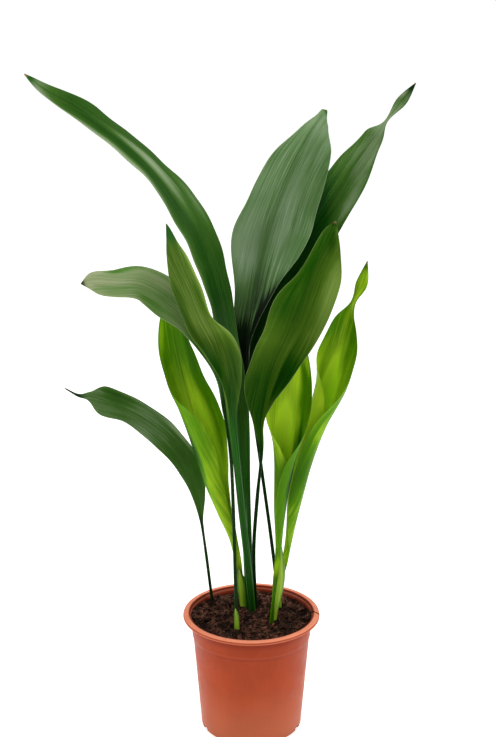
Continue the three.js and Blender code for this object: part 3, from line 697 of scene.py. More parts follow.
def pot_look(nodes, plastic, settings):
    """Mottled plastic, paler at its foot, with painted shade up the wall, under the lip and at the slit, and
    wear and a painted highlight on the rim.
    """
    place = nodes.place()
    x, y, z = nodes.separate(place)
    far = nodes.length(x, y)
    mottle = nodes.noise(place, 28, 4, 0.55)
    cloud = nodes.noise(place, 9, 2)
    brushed = nodes.noise(nodes.combine(nodes.times(x, 260), nodes.times(y, 260), nodes.times(z, 26)), 1, 3)

    def fade(field, start, end, strength=1.0):
        """From 0 where the field is start millimetres to the strength where it is end."""
        return nodes.remap(field, start * MM, end * MM, 0, strength)

    def collar_band(rise, fall, strength):
        """A band that rises and falls between heights over the collar's lower edge."""
        low, high = ([COLLAR_LOW + height for height in pair] for pair in (rise, fall))
        return nodes.times(fade(z, *low), fade(z, *high, strength))

    speck = nodes.times(
        nodes.remap(nodes.spots(place, 95), 0.075, 0.05), nodes.remap(nodes.noise(place, 37, 1), 0.6, 0.64)
    )
    grime = nodes.times(fade(z, 12, 0, 0.5), nodes.remap(mottle, 0.35, 0.6))
    lip = fade(z, RIM_UNDERSIDE - 0.2, RIM_UNDERSIDE + 0.8)
    top = nodes.times(
        fade(z, POT_HEIGHT - 1.7, POT_HEIGHT - 0.3), fade(far, RIM_INNER_RADIUS + 0.9, RIM_INNER_RADIUS + 3.2)
    )
    # Where the painted shade along the slit falls: close to its line, on the rim.
    turn = math.radians(SLIT_ANGLE)
    aside = nodes.scaled(y, math.cos(turn), nodes.times(x, -math.sin(turn)))
    aside = nodes.math("ABSOLUTE", nodes.math("SUBTRACT", aside, slit_place()[1] * MM))
    slit = nodes.times(fade(aside, 1.3, 0.7), fade(x, 73.5, 76.5))
    slit = nodes.times(slit, fade(z, RIM_UNDERSIDE - 1.6, RIM_UNDERSIDE + 0.4))

    # A paler plastic for the clouds and the brushing, also used for a painted highlight on the collar's edge.
    pale = [0.85 * c + 0.15 * p for c, p in zip(plastic, linear("d08a6c"))]
    # The painted shade colour: the plastic darkened, most in green and blue.
    shaded = [c * s for c, s in zip(plastic, (0.5, 0.28, 0.2))]
    # The rim colour: wear and a painted highlight of the light on the lip, together.
    worn = tuple(settings.rim_wear_and_highlight)
    colour = nodes.layers(
        nodes.mix(nodes.remap(mottle, 0.3, 0.7), dimmed(plastic, 0.92), dimmed(plastic, 1.06)),
        (nodes.remap(cloud, 0.35, 0.7, 0, 0.35), pale),
        (nodes.remap(brushed, 0.45, 0.75, 0, 0.15), pale),
        (speck, linear("4a2014")),
        (grime, linear("7a4632")),
        (fade(z, 90, 0, 0.3), linear("c8805c")),
        # Painted shade that deepens up the wall towards the collar.
        (fade(z, 80, COLLAR_LOW + 2.5, 0.22), shaded),
        # Painted shadow under the lip.
        (fade(z, RIM_UNDERSIDE - 15.6, RIM_UNDERSIDE - 3.1, 0.75), shaded),
        # Painted shade in the step at the collar's lower edge.
        (collar_band((-2, -0.9), (1.7, 0.7), 0.45), shaded),
        # Painted highlight along the top of the collar's lower edge.
        (collar_band((1.9, 2.7), (4.7, 3.3), 0.3), pale),
        # On the lip the plain plastic comes back over the layers beneath it, the painted shade among them.
        (nodes.times(lip, fade(far, RIM_INNER_RADIUS + 1.2, RIM_INNER_RADIUS + 3.2)), plastic),
        # Wear and a painted highlight on the lip's lower bead.
        (nodes.times(lip, fade(z, RIM_UNDERSIDE + 2.6, RIM_UNDERSIDE + 1.8, 0.3)), worn),
        # Wear and a painted highlight from the top light on the lip's top.
        (nodes.times(top, nodes.remap(mottle, 0.3, 0.6, 0.8, 1)), worn),
        # Painted shade along the slit.
        (slit, linear("4a1c0e")),
    )
    scuffs = nodes.noise(place, 60, 5, 0.65)
    grain = nodes.bump(nodes.noise(place, 900, 3, 0.6), 0.00006)
    return {
        "Base Color": colour,
        "Roughness": nodes.remap(scuffs, 0.3, 0.7, settings.roughness - 0.07, settings.roughness + 0.09),
        "Normal": nodes.bump(brushed, 0.00008, grain),
        "Specular IOR Level": 0.14,
    }


class PLANT_OT_pot(bpy.types.Operator):
    """Turn the nursery pot and cut its drain holes and the slit in its rim"""

    bl_idname = "plant.pot"
    bl_label = "Nursery Pot"

    def execute(self, context):
        settings = context.scene.plant_pot
        pot = add_object("nursery_pot", pot_mesh(settings.rounding / MM, settings.segments))
        cutters = add_object("pot_cutters", pot_cutters())
        cut = pot.modifiers.new("Drains", "BOOLEAN")
        cut.operation = "DIFFERENCE"
        cut.solver = "EXACT"
        cut.object = cutters
        apply_modifiers(pot)
        spare = cutters.data
        bpy.data.objects.remove(cutters)
        bpy.data.meshes.remove(spare)
        for name, colour in (
            ("Terracotta Plastic", settings.colour), ("Terracotta Inside", settings.inner_shaded_colour),
        ):
            pot.data.materials.append(new_material(name, pot_look, tuple(colour), settings))
        for polygon in pot.data.polygons:
            x, y, z = polygon.center
            radius = math.hypot(x, y)
            inwards = polygon.normal.x * x + polygon.normal.y * y < -0.3 * radius
            on_wall = inwards and radius < INSIDE_RADIUS * MM
            on_floor = z > (FLOOR_TOP - 1) * MM and radius < FLOOR_RADIUS * MM
            polygon.material_index = 1 if on_wall or on_floor else 0
        finish_piece(pot, ["pot"], sharp=32)
        return {"FINISHED"}


# Soil
def soil_height(x, y):
    broad = 1.3 * math.sin(0.09 * x + 0.7) * math.cos(0.08 * y + 0.4)
    lumps = 0.9 * math.sin(0.23 * x + 0.31 * y) + 0.7 * math.cos(0.35 * x - 0.17 * y + 1)
    return SOIL_LEVEL - 0.012 * x + 0.012 * y + broad + lumps


def clods(x, y, lump_height):
    """The fine lumps on the soil, in millimetres."""
    big = noise.noise(Vector((x, y, 3)) * 0.11)
    middle = noise.noise(Vector((x, y, 9)) * 0.27)
    fine = noise.noise(Vector((x, y, 17)) * 0.8)
    ridged = 1 - abs(noise.noise(Vector((x, y, 31)) * 0.2)) * 2
    edge = min(1, max(0, (SOIL_EDGE - math.hypot(x, y)) / LUMP_FADE))
    return lump_height * (0.6 * big + 0.45 * middle + 0.2 * fine + 0.35 * (ridged - 0.7)) * (0.3 + 0.7 * edge)


def bank(radius, angle):
    """How much the soil banks up against the pot's wall, from 0 to 1: all round but at the back."""
    climb = min(1, max(0, (radius - BANK_START) / (SOIL_EDGE - BANK_START)))
    turned = min(1, max(0, (0.75 - math.sin(angle)) / 0.6))
    return climb ** 2 * turned * (0.8 + 0.2 * math.sin(5 * angle + 1))


def soil_top(rings, segments, lump_height, reach=SOIL_EDGE):
    """Points in rings over the top of the soil, from its edge inwards, and its middle, in metres."""
    points = []
    for i in range(rings):
        radius = reach * (1 - i / rings)
        for j in range(segments):
            angle = 2 * math.pi * (j + 0.5 * (i % 2)) / segments
            x, y = radius * math.cos(angle), radius * math.sin(angle)
            up = bank(radius, angle)
            spread = 1 + BANK_REACH * up / radius
            level = soil_height(x, y) + clods(x, y, lump_height) + BANK_HEIGHT * up
            points.append((x * spread * MM, y * spread * MM, level * MM))
    return points, (0, 0, (soil_height(0, 0) + clods(0, 0, lump_height)) * MM)


def soil_mesh(lump_height):
    """A closed body: flat underside, the pot's inner wall, and the lumpy top."""
    wall = [(radius - SOIL_GAP, level) for radius, level in INNER_WALL[1:]][::-1]
    bottom = FLOOR_TOP + SOIL_GAP
    angles = [2 * math.pi * j / SOIL_SEGMENTS for j in range(SOIL_SEGMENTS)]
    below = [
        (radius * math.cos(angle) * MM, radius * math.sin(angle) * MM, level * MM)
        for radius, level in [(wall[0][0], bottom), *wall[1:]] for angle in angles
    ]
    top, middle = soil_top(SOIL_RINGS, SOIL_SEGMENTS, lump_height)
    return closed_rings("potting_soil", [*below, *top, (0, 0, bottom * MM), middle], SOIL_SEGMENTS)


def litter_bed(lump_height, reach, clear):
    """The soil's top as an open sheet to scatter on, without the spots that the stalks stand on."""
    points, _ = soil_top(BED_RINGS, BED_SEGMENTS, lump_height, reach)
    stalks = [leaf["rows"][0][:2] for leaf in LEAVES.values()]

    def is_clear(corners):
        x, y = (sum(points[k][axis] for k in corners) / 4 for axis in (0, 1))
        return all(math.hypot(x - sx * MM, y - sy * MM) > clear * MM for sx, sy in stalks)

    faces = [corners for corners in ring_faces(BED_RINGS, BED_SEGMENTS) if is_clear(corners)]
    return mesh_from("litter_bed", points, faces)


def hollow_shade(nodes, place):
    """How much painted shade darkens the soil and what lies on it: 0 on the lumps, more in the dips."""
    return nodes.remap(nodes.noise(place, 80, 2), 0.56, 0.42, 0, 0.8)


def soil_look(nodes, settings):
    place = nodes.place()
    peat = tuple(settings.peat)
    clumps = nodes.noise(place, 140, 5, 0.65)
    flecks = nodes.noise(place, 310, 2)
    rough = nodes.bump(clumps, 0.0022)
    return {
        "Base Color": nodes.layers(
            nodes.mix(nodes.remap(clumps, 0.35, 0.65), dimmed(peat, 0.45), peat),
            (nodes.remap(flecks, 0.56, 0.66, 0, 0.8), tuple(settings.bark)),
            # Painted shade in the dips between the lumps.
            (hollow_shade(nodes, place), dimmed(peat, 0.15)),
        ),
        "Roughness": nodes.remap(clumps, 0.3, 0.7, 0.8, 0.98),
        "Normal": nodes.bump(nodes.spots(place, 520), 0.0007, rough),
        "Specular IOR Level": 0.12,
    }


def litter_look(nodes, dark, light, grain):
    """Loose bits that each take their own tone between two colours."""
    place = nodes.place()
    tone = nodes.out("ShaderNodeAttribute", output="Fac", attribute_name="tone")
    fine = nodes.noise(place, grain, 4, 0.6)
    worn = nodes.mix(nodes.remap(fine, 0.3, 0.7), dimmed(dark, 0.6), nodes.mix(tone, dark, light))
    return {
        # Painted shade where the bits lie in the soil's dips.
        "Base Color": nodes.mix(hollow_shade(nodes, place), worn, dimmed(dark, 0.25)),
        "Roughness": nodes.remap(fine, 0.3, 0.7, 0.65, 0.95),
        "Normal": nodes.bump(fine, 0.0006),
        "Specular IOR Level": 0.15,
    }


class PLANT_OT_soil(bpy.types.Operator):
    """Fill the pot with lumpy potting soil"""

    bl_idname = "plant.soil"
    bl_label = "Potting Soil"

    def execute(self, context):
        settings = context.scene.plant_soil
        material = new_material("Peat Soil", soil_look, settings)
        soil = add_object("potting_soil", soil_mesh(settings.lump_height / MM), material)
        finish_piece(soil, ["soil"], sharp=60)
        return {"FINISHED"}


def scatter_tree(name, shape):
    """A tree that scatters copies of a shape over a surface, each with its own size, tilt and tone."""
    tree = bpy.data.node_groups.new(name, "GeometryNodeTree")
    face = tree.interface
    face.new_socket("Geometry", in_out="INPUT", socket_type="NodeSocketGeometry")
    for label, kind, value in (
        ("Density", "Float", 1000), ("Size", "Vector", (0.01, 0.005, 0.002)), ("Smallest", "Float", 0.4),
        ("Tilt", "Float", 0.4), ("Lift", "Float", 0), ("Crumple", "Float", 0.001),
        ("Crumple Scale", "Float", 200), ("Reach", "Float", 0.07), ("Bank Reach", "Float", 0.07),
        ("Seed", "Int", 0), ("Material", "Material", None),
    ):
        socket = face.new_socket(label, in_out="INPUT", socket_type="NodeSocket" + kind)
        if value is not None:
            socket.default_value = value
    face.new_socket("Geometry", in_out="OUTPUT", socket_type="NodeSocketGeometry")
    nodes = NodeBuilder(tree)
    given = nodes.add("NodeGroupInput").outputs
    scatter = nodes.add("GeometryNodeDistributePointsOnFaces", {
        "Mesh": given["Geometry"], "Density": given["Density"], "Seed": given["Seed"],
    }, distribute_method="RANDOM").outputs

    def random(kind, low, high, seed):
        node = nodes.add("FunctionNodeRandomValue", data_type=kind)
        picks = [s for s in node.inputs if s.enabled]
        nodes.put(picks[0], low)
        nodes.put(picks[1], high)
        nodes.put(node.inputs["Seed"], nodes.math("ADD", given["Seed"], seed))
        return [s for s in node.outputs if s.enabled][0]

    tilt, smallest = given["Tilt"], given["Smallest"]
    back = nodes.times(tilt, -1)
    least, most = nodes.combine(back, back, -HALF_TURN), nodes.combine(tilt, tilt, HALF_TURN)
    turn = random("FLOAT_VECTOR", least, most, 1)
    spun = nodes.out("FunctionNodeRotateRotation", {
        "Rotation": scatter["Rotation"],
        "Rotate By": nodes.out("FunctionNodeEulerToRotation", {"Euler": turn}),
    }, rotation_space="LOCAL")
    size = random("FLOAT_VECTOR", nodes.combine(smallest, smallest, smallest), (1, 1, 1), 2)
    copies = nodes.out("GeometryNodeInstanceOnPoints", {
        "Points": scatter["Points"], "Instance": shape(nodes, given["Size"]), "Rotation": spun, "Scale": size,
    })
    lifted = nodes.out("GeometryNodeTranslateInstances", {
        "Instances": copies, "Translation": nodes.combine(0.0, 0.0, given["Lift"]), "Local Space": False,
    })
    toned = nodes.out("GeometryNodeStoreNamedAttribute", {
        "Geometry": lifted, "Name": "tone", "Value": random("FLOAT", 0.0, 1.0, 3),
    }, data_type="FLOAT", domain="INSTANCE")
    real = nodes.out("GeometryNodeRealizeInstances", {"Geometry": toned})
    place = nodes.out("GeometryNodeInputPosition")
    wild = nodes.out("ShaderNodeTexNoise", {
        "Vector": place, "Scale": given["Crumple Scale"], "Detail": 1.0,
    }, "Color")
    push = nodes.out("ShaderNodeVectorMath", {0: wild, 1: (0.5, 0.5, 0.5)}, operation="SUBTRACT")
    push = nodes.out(
        "ShaderNodeVectorMath", {0: push, "Scale": nodes.times(given["Crumple"], 2)}, operation="SCALE"
    )
    crumpled = nodes.out("GeometryNodeSetPosition", {"Geometry": real, "Offset": push})
    x, y, z = nodes.separate(place)
    room = nodes.remap(
        z, LITTER_LEVEL * MM, LITTER_BANK_LEVEL * MM, given["Reach"], given["Bank Reach"], "LINEAR"
    )
    shrink = nodes.math("MINIMUM", 1.0, nodes.math("DIVIDE", room, nodes.length(x, y)))
    kept = nodes.out("GeometryNodeSetPosition", {
        "Geometry": crumpled, "Position": nodes.combine(nodes.times(x, shrink), nodes.times(y, shrink), z),
    })
    coated = nodes.out("GeometryNodeSetMaterial", {"Geometry": kept, "Material": given["Material"]})
    nodes.add("NodeGroupOutput", {"Geometry": coated})
    return tree


def chip_shape(nodes, size):
    """A rough block a few faces long."""
    return nodes.out("GeometryNodeMeshCube", {
        "Size": size, "Vertices X": 4, "Vertices Y": 3, "Vertices Z": 2,
    }, "Mesh")


def crumb_shape(nodes, size):
    """A small faceted ball."""
    ball = nodes.out("GeometryNodeMeshIcoSphere", {"Radius": 0.5, "Subdivisions": 1}, "Mesh")
    return nodes.out("GeometryNodeTransform", {"Geometry": ball, "Scale": size})


def fibre_shape(nodes, size):
    """A thin three-sided thread, bent in its middle."""
    length, width, rise = nodes.separate(size)
    half = nodes.times(length, 0.5)
    path = nodes.out("GeometryNodeCurveQuadraticBezier", {
        "Resolution": 7, "Start": nodes.combine(nodes.times(half, -1), 0.0, 0.0),
        "Middle": nodes.combine(0.0, nodes.times(half, 0.6), rise), "End": nodes.combine(half, 0.0, 0.0),
    })
    section = nodes.out("GeometryNodeCurvePrimitiveCircle", {"Resolution": 3, "Radius": width})
    return nodes.out("GeometryNodeCurveToMesh", {"Curve": path, "Profile Curve": section, "Fill Caps": True})


def scatter_piece(name, bed, shape, values):
    """Scatters copies of a shape over the bed and keeps the result as a plain mesh."""
    piece = add_object(name, bed.copy())
    modifier = piece.modifiers.new("Scatter", "NODES")
    modifier.node_group = scatter_tree(name.replace("_", " ").title(), shape)
    for item in modifier.node_group.interface.items_tree:
        if item.in_out == "INPUT" and item.name in values:
            modifier[item.identifier] = values[item.name]
    apply_modifiers(piece)
    if not piece.data.polygons:
        raise RuntimeError(f"{name} has no faces")
    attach(piece, "root")


class PLANT_OT_litter(bpy.types.Operator):
    """Scatter bark chips, crumbs and fibres over the soil"""

    bl_idname = "plant.litter"
    bl_label = "Bark, Crumbs and Fibres"

    def execute(self, context):
        settings = context.scene.plant_soil
        lump = settings.lump_height / MM
        peat, bark, fibre = (tuple(c) for c in (settings.peat, settings.bark, settings.fibre))
        common = {"Reach": LITTER_REACH * MM, "Bank Reach": LITTER_BANK_REACH * MM}
        wide, narrow = litter_bed(lump, *WIDE_BED), litter_bed(lump, *NARROW_BED)
        length = settings.bark_length
        scatter_piece("bark_chips", narrow, chip_shape, {
            **common, "Density": settings.bark_density, "Size": (length, length * 0.5, length * 0.2),
            "Smallest": 0.3, "Tilt": 0.5, "Lift": 0.0006, "Crumple": 0.0016, "Crumple Scale": 190.0,
            "Seed": 4, "Material": new_material("Bark Chips", litter_look, peat, bark, 600),
        })
        size = settings.crumb_size
        scatter_piece("soil_crumbs", wide, crumb_shape, {
            **common, "Density": settings.crumb_density, "Size": (size, size, size * 0.8),
            "Smallest": 0.25, "Tilt": 1.0, "Lift": 0.0005, "Crumple": 0.0009, "Crumple Scale": 420.0,
            "Seed": 11,
            "Material": new_material("Soil Crumbs", litter_look, dimmed(peat, 0.6), dimmed(peat, 2.2), 900),
        })
        length = settings.fibre_length
        scatter_piece("soil_fibres", narrow, fibre_shape, {
            **common, "Density": settings.fibre_density, "Size": (length, FIBRE_RADIUS * MM, length * 0.12),
            "Smallest": 0.35, "Tilt": 0.25, "Lift": 0.0018, "Crumple": 0.003, "Crumple Scale": 90.0,
            "Seed": 23, "Material": new_material("Pale Fibres", litter_look, bark, fibre, 400),
        })
        for bed in (wide, narrow):
            bpy.data.meshes.remove(bed)
        return {"FINISHED"}


# Leaves
def smooth_rows(rows, t):
    """A smooth curve through the rows at the fractions t of their count, and its slope."""
    rows = np.asarray(rows, float)
    last = len(rows) - 1
    padded = np.vstack([2 * rows[0] - rows[1], rows, 2 * rows[-1] - rows[-2]])
    spot = np.clip(np.asarray(t, float), 0, 1) * last
    cell = np.minimum(spot.astype(int), last - 1)
    w = (spot - cell)[:, None]
    p0, p1, p2, p3 = (padded[cell + k] for k in range(4))
    t1, t2 = (p2 - p0) / 2, (p3 - p1) / 2
    c2, c3 = 3 * (p2 - p1) - 2 * t1 - t2, 2 * (p1 - p2) + t1 + t2
    return p1 + t1 * w + c2 * w ** 2 + c3 * w ** 3, t1 + 2 * c2 * w + 3 * c3 * w ** 2


def unit(vectors):
    return vectors / np.linalg.norm(vectors, axis=-1, keepdims=True)


def smooth_step(value, low, high):
    t = np.clip((value - low) / (high - low), 0, 1)
    return t * t * (3 - 2 * t)


def half_section(c, turn, crease):
    """Where a half's surface is at the columns c, for a half width of 1, one row for each turn."""
    fine = np.linspace(0, 1, SECTION_STEPS + 1)
    opening = smooth_step(fine, 0, CREASE_REACH)
    angle = turn[:, None] * (crease * opening + (1 - crease) * 2 * fine)
    step = fine[1] - fine[0]

    def total(rate):
        sums = np.cumsum((rate[:, 1:] + rate[:, :-1]) / 2 * step, axis=1)
        return np.hstack([np.zeros((len(rate), 1)), sums])

    return [
        np.array([np.interp(places, fine, row) for places, row in zip(c, values)])
        for values in (total(np.cos(angle)), total(np.sin(angle)), angle)
    ]


def leaf_relief(c, along, length, seed, settings):
    """How far the pleats and the buckling lift the upper face, in millimetres."""
    far = np.abs(c)
    pleat = np.cos(2 * np.pi * settings.pleats * far) * settings.pleat_height / MM
    slow = np.sin(length * 0.055 + seed + 2.2 * np.sign(c)) * np.sin(length * 0.023 + 1.3 * seed)
    quick = np.sin(length * 0.13 + 2.1 * seed + np.sign(c)) * 0.35
    buckle = (slow + quick) * far ** 2 * settings.buckle / MM
    return pleat * (1 - far ** 6) + buckle * np.sin(np.pi * along) ** 0.5


def leaf_surface(leaf, settings, relief=True, rings_per_span=None, seed=0.0):
    """The upper and lower points of a leaf in millimetres, and where each point is on the leaf."""
    rows = leaf["rows"]
    foot = leaf.get("foot", rows[0][:2])
    all_rows = np.array([(*foot, STEM_FOOT, rows[0][3], 0, *rows[0][5:]), *rows], float)
    spans = len(all_rows) - 1
    t = np.linspace(0, 1, spans * (rings_per_span or settings.rings) + 1)
    middle, slope = smooth_rows(all_rows[:, :3], t)
    shape, _ = smooth_rows(all_rows[:, 3:], t)
    half_width = np.maximum(shape[:, :1], FOOT_HALF_WIDTH)
    roll = np.radians(shape[:, 1:2])
    run = unit(slope)
    face = np.array(leaf.get("face", (0, -1, 0)), float)
    straight = unit(face - run * (run @ face)[:, None])
    side = np.cross(run, straight)
    out = (straight * np.cos(roll) - side * np.sin(roll))[:, None]
    right = (side * np.cos(roll) + straight * np.sin(roll))[:, None]

    blade_start = leaf["blade"] / spans
    along = np.clip((t[:, None] - blade_start) / (1 - blade_start), 0, 1)
    keel_half = leaf.get("keel", rows[max(leaf["blade"] - 3, 0)][3])
    reach = np.minimum(keel_half / half_width, 1)
    stalk = smooth_step(reach, *STALK_SHARES)
    steps = np.linalg.norm(np.diff(middle, axis=0), axis=1)
    length = np.concatenate([[0], np.cumsum(steps)])[:, None]

    u = np.linspace(-1, 1, 2 * settings.columns + 1)
    c = np.sign(u) * np.abs(u) ** COLUMN_POWER * (1 - stalk) + np.sin(u * np.pi / 2) * stalk
    sides = leaf.get("sides", (1, 1))
    across, outwards, bend = np.zeros_like(c), np.zeros_like(c), np.zeros_like(c)
    halves = slice(0, settings.columns), slice(settings.columns, None)
    for half, sign, share, turn in zip(halves, (-1, 1), sides, shape[:, 2:].T):
        a, o, bend[:, half] = half_section(np.abs(c[:, half]), np.radians(turn), leaf["crease"])
        across[:, half] = sign * a * share
        outwards[:, half] = o * share

    height, count, phase = leaf.get("wave", (0, 0, 0))
    ripple = np.sin(2 * np.pi * count * along + phase + np.where(c > 0, MARGIN_PHASE, 0))
    lift = height * c ** 2 * ripple * np.sin(np.pi * along)
    normal = out * np.cos(bend)[..., None] - right * (np.sign(c) * np.sin(bend))[..., None]
    points = middle[:, None] + right * (across * half_width)[..., None]
    points = points + out * (outwards * half_width + lift)[..., None]
    if relief:
        blade = smooth_step(half_width, *BLADE_HALF_WIDTHS) * (1 - stalk)
        points = points + normal * (blade * leaf_relief(c, along, length, seed, settings))[..., None]

    hump = np.sqrt(np.clip(1 - (c / np.maximum(reach, 1e-6)) ** 2, 0, None))
    keel = KEEL_DEPTH * np.minimum(keel_half, half_width) * (1 - 0.8 * along) * hump
    inner, margin = settings.thickness / MM, settings.margin_thickness / MM
    below = points - normal * (inner + (margin - inner) * c ** 2 + keel)[..., None]
    width = c * np.where(c < 0, *sides) * half_width
    return points, below, np.broadcast_arrays(c, along, width * MM, length * MM, stalk)


def leaf_mesh(name, leaf, settings, **options):
    """A closed thin skin, with its places across and along the leaf stored on its points."""
    upper, lower, (c, along, *run) = leaf_surface(leaf, settings, **options)
    over = np.arange(c.size).reshape(c.shape)
    under = over + c.size
    strips = [
        (over[:-1, :-1], over[:-1, 1:], over[1:, 1:], over[1:, :-1]),
        (under[:-1, 1:], under[:-1, :-1], under[1:, :-1], under[1:, 1:]),
        (over[:-1, -1], under[:-1, -1], under[1:, -1], over[1:, -1]),
        (under[:-1, 0], over[:-1, 0], over[1:, 0], under[1:, 0]),
        (over[0, :-1], under[0, :-1], under[0, 1:], over[0, 1:]),
        (over[-1, :-1], over[-1, 1:], under[-1, 1:], under[-1, :-1]),
    ]
    faces = np.vstack([np.stack(strip, axis=-1).reshape(-1, 4) for strip in strips])
    points = np.vstack([upper.reshape(-1, 3), lower.reshape(-1, 3)]) * MM
    mesh = mesh_from(name, points.tolist(), faces.tolist())
    places = [(c, along, np.full_like(c, is_under)) for is_under in (0, 1)]
    for label, fields in (("leaf_place", places), ("leaf_run", [run, run])):
        values = np.concatenate([np.stack(side, axis=-1).reshape(-1, 3) for side in fields])
        attribute = mesh.attributes.new(label, "FLOAT_VECTOR", "POINT")
        attribute.data.foreach_set("vector", values.astype(np.float32).ravel())
    return mesh


def shade_ramp(nodes, value, stops):
    """A shade from -2 to 2 that follows the stops."""
    grey = nodes.ramp(value, [(at, dimmed((1, 1, 1), (2 + shade) / 4)) for at, shade in stops])
    return nodes.scaled(nodes.out("ShaderNodeRGBToBW", {0: grey}), 4, -2)


def leaf_look(nodes, leaf, look, settings):
    """Green with a midrib, parallel veins, streaks, a pale margin, a dry tip and painted shadows and
    highlights.
    """
    green = look.get("palette", leaf["green"])
    deep, face, light = (tuple(getattr(settings, f"{green}_{tone}")) for tone in TONES)
    c, along, under = nodes.stored("leaf_place")
    wide, length, stalk = nodes.stored("leaf_run")

    def streak(across_scale, along_scale, detail=2.0):
        at = nodes.combine(nodes.times(wide, across_scale), nodes.times(length, along_scale))
        return nodes.noise(at, 1, detail)

    broad = streak(170, 9)
    narrow = streak(620, 14)
    veins = streak(1500, 6, 1.0)
    cloud = nodes.noise(nodes.place(), 22, 3)
    across = shade_ramp(nodes, nodes.scaled(c, 0.5, 0.5), look["across"])
    upper = nodes.math("ADD", across, shade_ramp(nodes, along, look["along"]))
    # Below 0 the rib paints shade in the midrib's crease.
    rib = nodes.remap(nodes.math("ABSOLUTE", wide), 0.0014, 0.0004)
    upper = nodes.scaled(rib, look["rib"], upper)
    shade = nodes.scaled(under, nodes.scaled(upper, -0.7, look["back"]), upper)
    frayed = nodes.scaled(broad, 0.9, -0.45)
    # The patches paint shadows that other leaves cast and highlights, as well as the leaf's own tone.
    for across_at, along_at, across_reach, along_reach, change in look["patches"]:
        away = nodes.length(
            nodes.scaled(c, 1 / across_reach, -across_at / across_reach),
            nodes.scaled(along, 1 / along_reach, -along_at / along_reach),
        )
        shade = nodes.scaled(nodes.remap(nodes.math("ADD", away, frayed), 1.15, 0.1), change, shade)
    lines = nodes.remap(cloud, 0.35, 0.65, 0.5 * look["lines"], 1.4 * look["lines"])
    # The narrow lines and veins are the leaf's fine veins with painted glints along them.
    for field, strength in ((broad, 0.8), (narrow, lines), (veins, nodes.times(lines, 0.5)), (cloud, 0.5)):
        shade = nodes.scaled(nodes.math("SUBTRACT", field, 0.5), strength, shade)

    # Below -1 the green darkens to a quarter of the deep tone, for painted shadows.
    span = 1 - DARKEST_SHADE
    stops = ((DARKEST_SHADE, dimmed(deep, 0.25)), (-1, deep), (0, face), (1, light))
    colour = nodes.ramp(
        nodes.scaled(shade, 1 / span, -DARKEST_SHADE / span),
        [((at - DARKEST_SHADE) / span, tone) for at, tone in stops],
    )
    young = leaf["green"] == YOUNG_GREEN
    stem = dimmed(settings.stalk, look.get("stalk", 1))
    stem_tones = (deep, face) if young else (dimmed(stem, 0.35), stem)
    edge = [0.5 * (a + b) for a, b in zip(light, linear("d8dcb0"))]
    tip = nodes.remap(nodes.scaled(cloud, 0.03, along), 0.992, 1.01)
    raised = nodes.bump(narrow, 0.0003, nodes.bump(veins, 0.00012))
    return {
        "Base Color": nodes.layers(
            colour,
            (nodes.remap(nodes.math("ABSOLUTE", c), 0.975, 0.993, 0, look["margin"]), edge),
            (stalk, nodes.mix(nodes.remap(streak(900, 12), 0.3, 0.7), *stem_tones)),
            (nodes.times(tip, 0.8), tuple(settings.dry)),
        ),
        "Roughness": nodes.remap(broad, 0.25, 0.75, 0.33, 0.5),
        "Normal": nodes.bump(broad, 0.0006, raised),
        "Specular IOR Level": look["gloss"],
        "Subsurface Weight": 0.2 if young else 0.04,
        **LEAF_SUBSURFACE,
    }


class PLANT_OT_leaves(bpy.types.Operator):
    """Build the ten leaves with their stalks"""

    bl_idname = "plant.leaves"
    bl_label = "Leaves"

    def execute(self, context):
        settings = context.scene.plant_leaves
        for number, (key, leaf) in enumerate(LEAVES.items()):
            name = f"blade_{key}"
            material = new_material(f"Leaf {key.upper()} Green", leaf_look, leaf, LOOKS[key], settings)
            piece = add_object(name, leaf_mesh(name, leaf, settings, seed=1.7 * number), material)
            finish_piece(piece, [f"leaf_{key}"], sharp=LEAF_SHARP)
        return {"FINISHED"}


# Sheath scales
def sheath_leaf(stem, radius, middle, tip, lean, ahead):
    """A sheath scale as a short leaf wrapped the other way round, with no keel."""
    rows = LEAVES[stem]["rows"]
    axis_rows = [(x, y + 0.4 * half, z) for x, y, z, half, *_ in rows]
    axis, _ = smooth_rows(axis_rows, np.linspace(0, 1, AXIS_STEPS + 1))

    def row_at(z, clear, wrap, part):
        x, y, _ = axis[np.argmax(axis[:, 2] >= z)]
        turn = math.degrees(wrap / 2)
        return (x + part * lean, y - clear - part * ahead, z, wrap * clear, 0, turn, turn)

    start = rows[0][2]
    return dict(
        blade=1, crease=0, face=(0, 1, 0), keel=0,
        rows=[
            row_at(start, radius, WRAP, 0), row_at((start + tip) / 2, middle, WRAP_HALF_WAY, 0.1),
            row_at(tip, middle, WRAP_AT_TIP, 1),
        ],
    )


def sheath_look(nodes, settings):
    """Bright along the middle, with painted shade at the edges that wrap round the stalk, dry at the tip."""
    c, along, _ = nodes.stored("leaf_place")
    wide, length, _ = nodes.stored("leaf_run")
    lines = nodes.noise(nodes.combine(nodes.times(wide, 1400), nodes.times(length, 30)), 1, 3)
    bright = tuple(settings.sheath)
    return {
        "Base Color": nodes.layers(
            nodes.mix(nodes.remap(lines, 0.3, 0.7), dimmed(bright, 0.6), bright),
            # Painted shade towards the edges of the scale.
            (nodes.remap(nodes.math("ABSOLUTE", c), 0.15, 0.6, 0, 0.85), linear("3c6a10")),
            (nodes.remap(nodes.scaled(lines, 0.3, along), 1.05, 1.25, 0, 0.7), tuple(settings.dry)),
        ),
        "Roughness": 0.5,
        "Normal": nodes.bump(lines, 0.0003),
        "Subsurface Weight": 0.15,
        **LEAF_SUBSURFACE,
    }


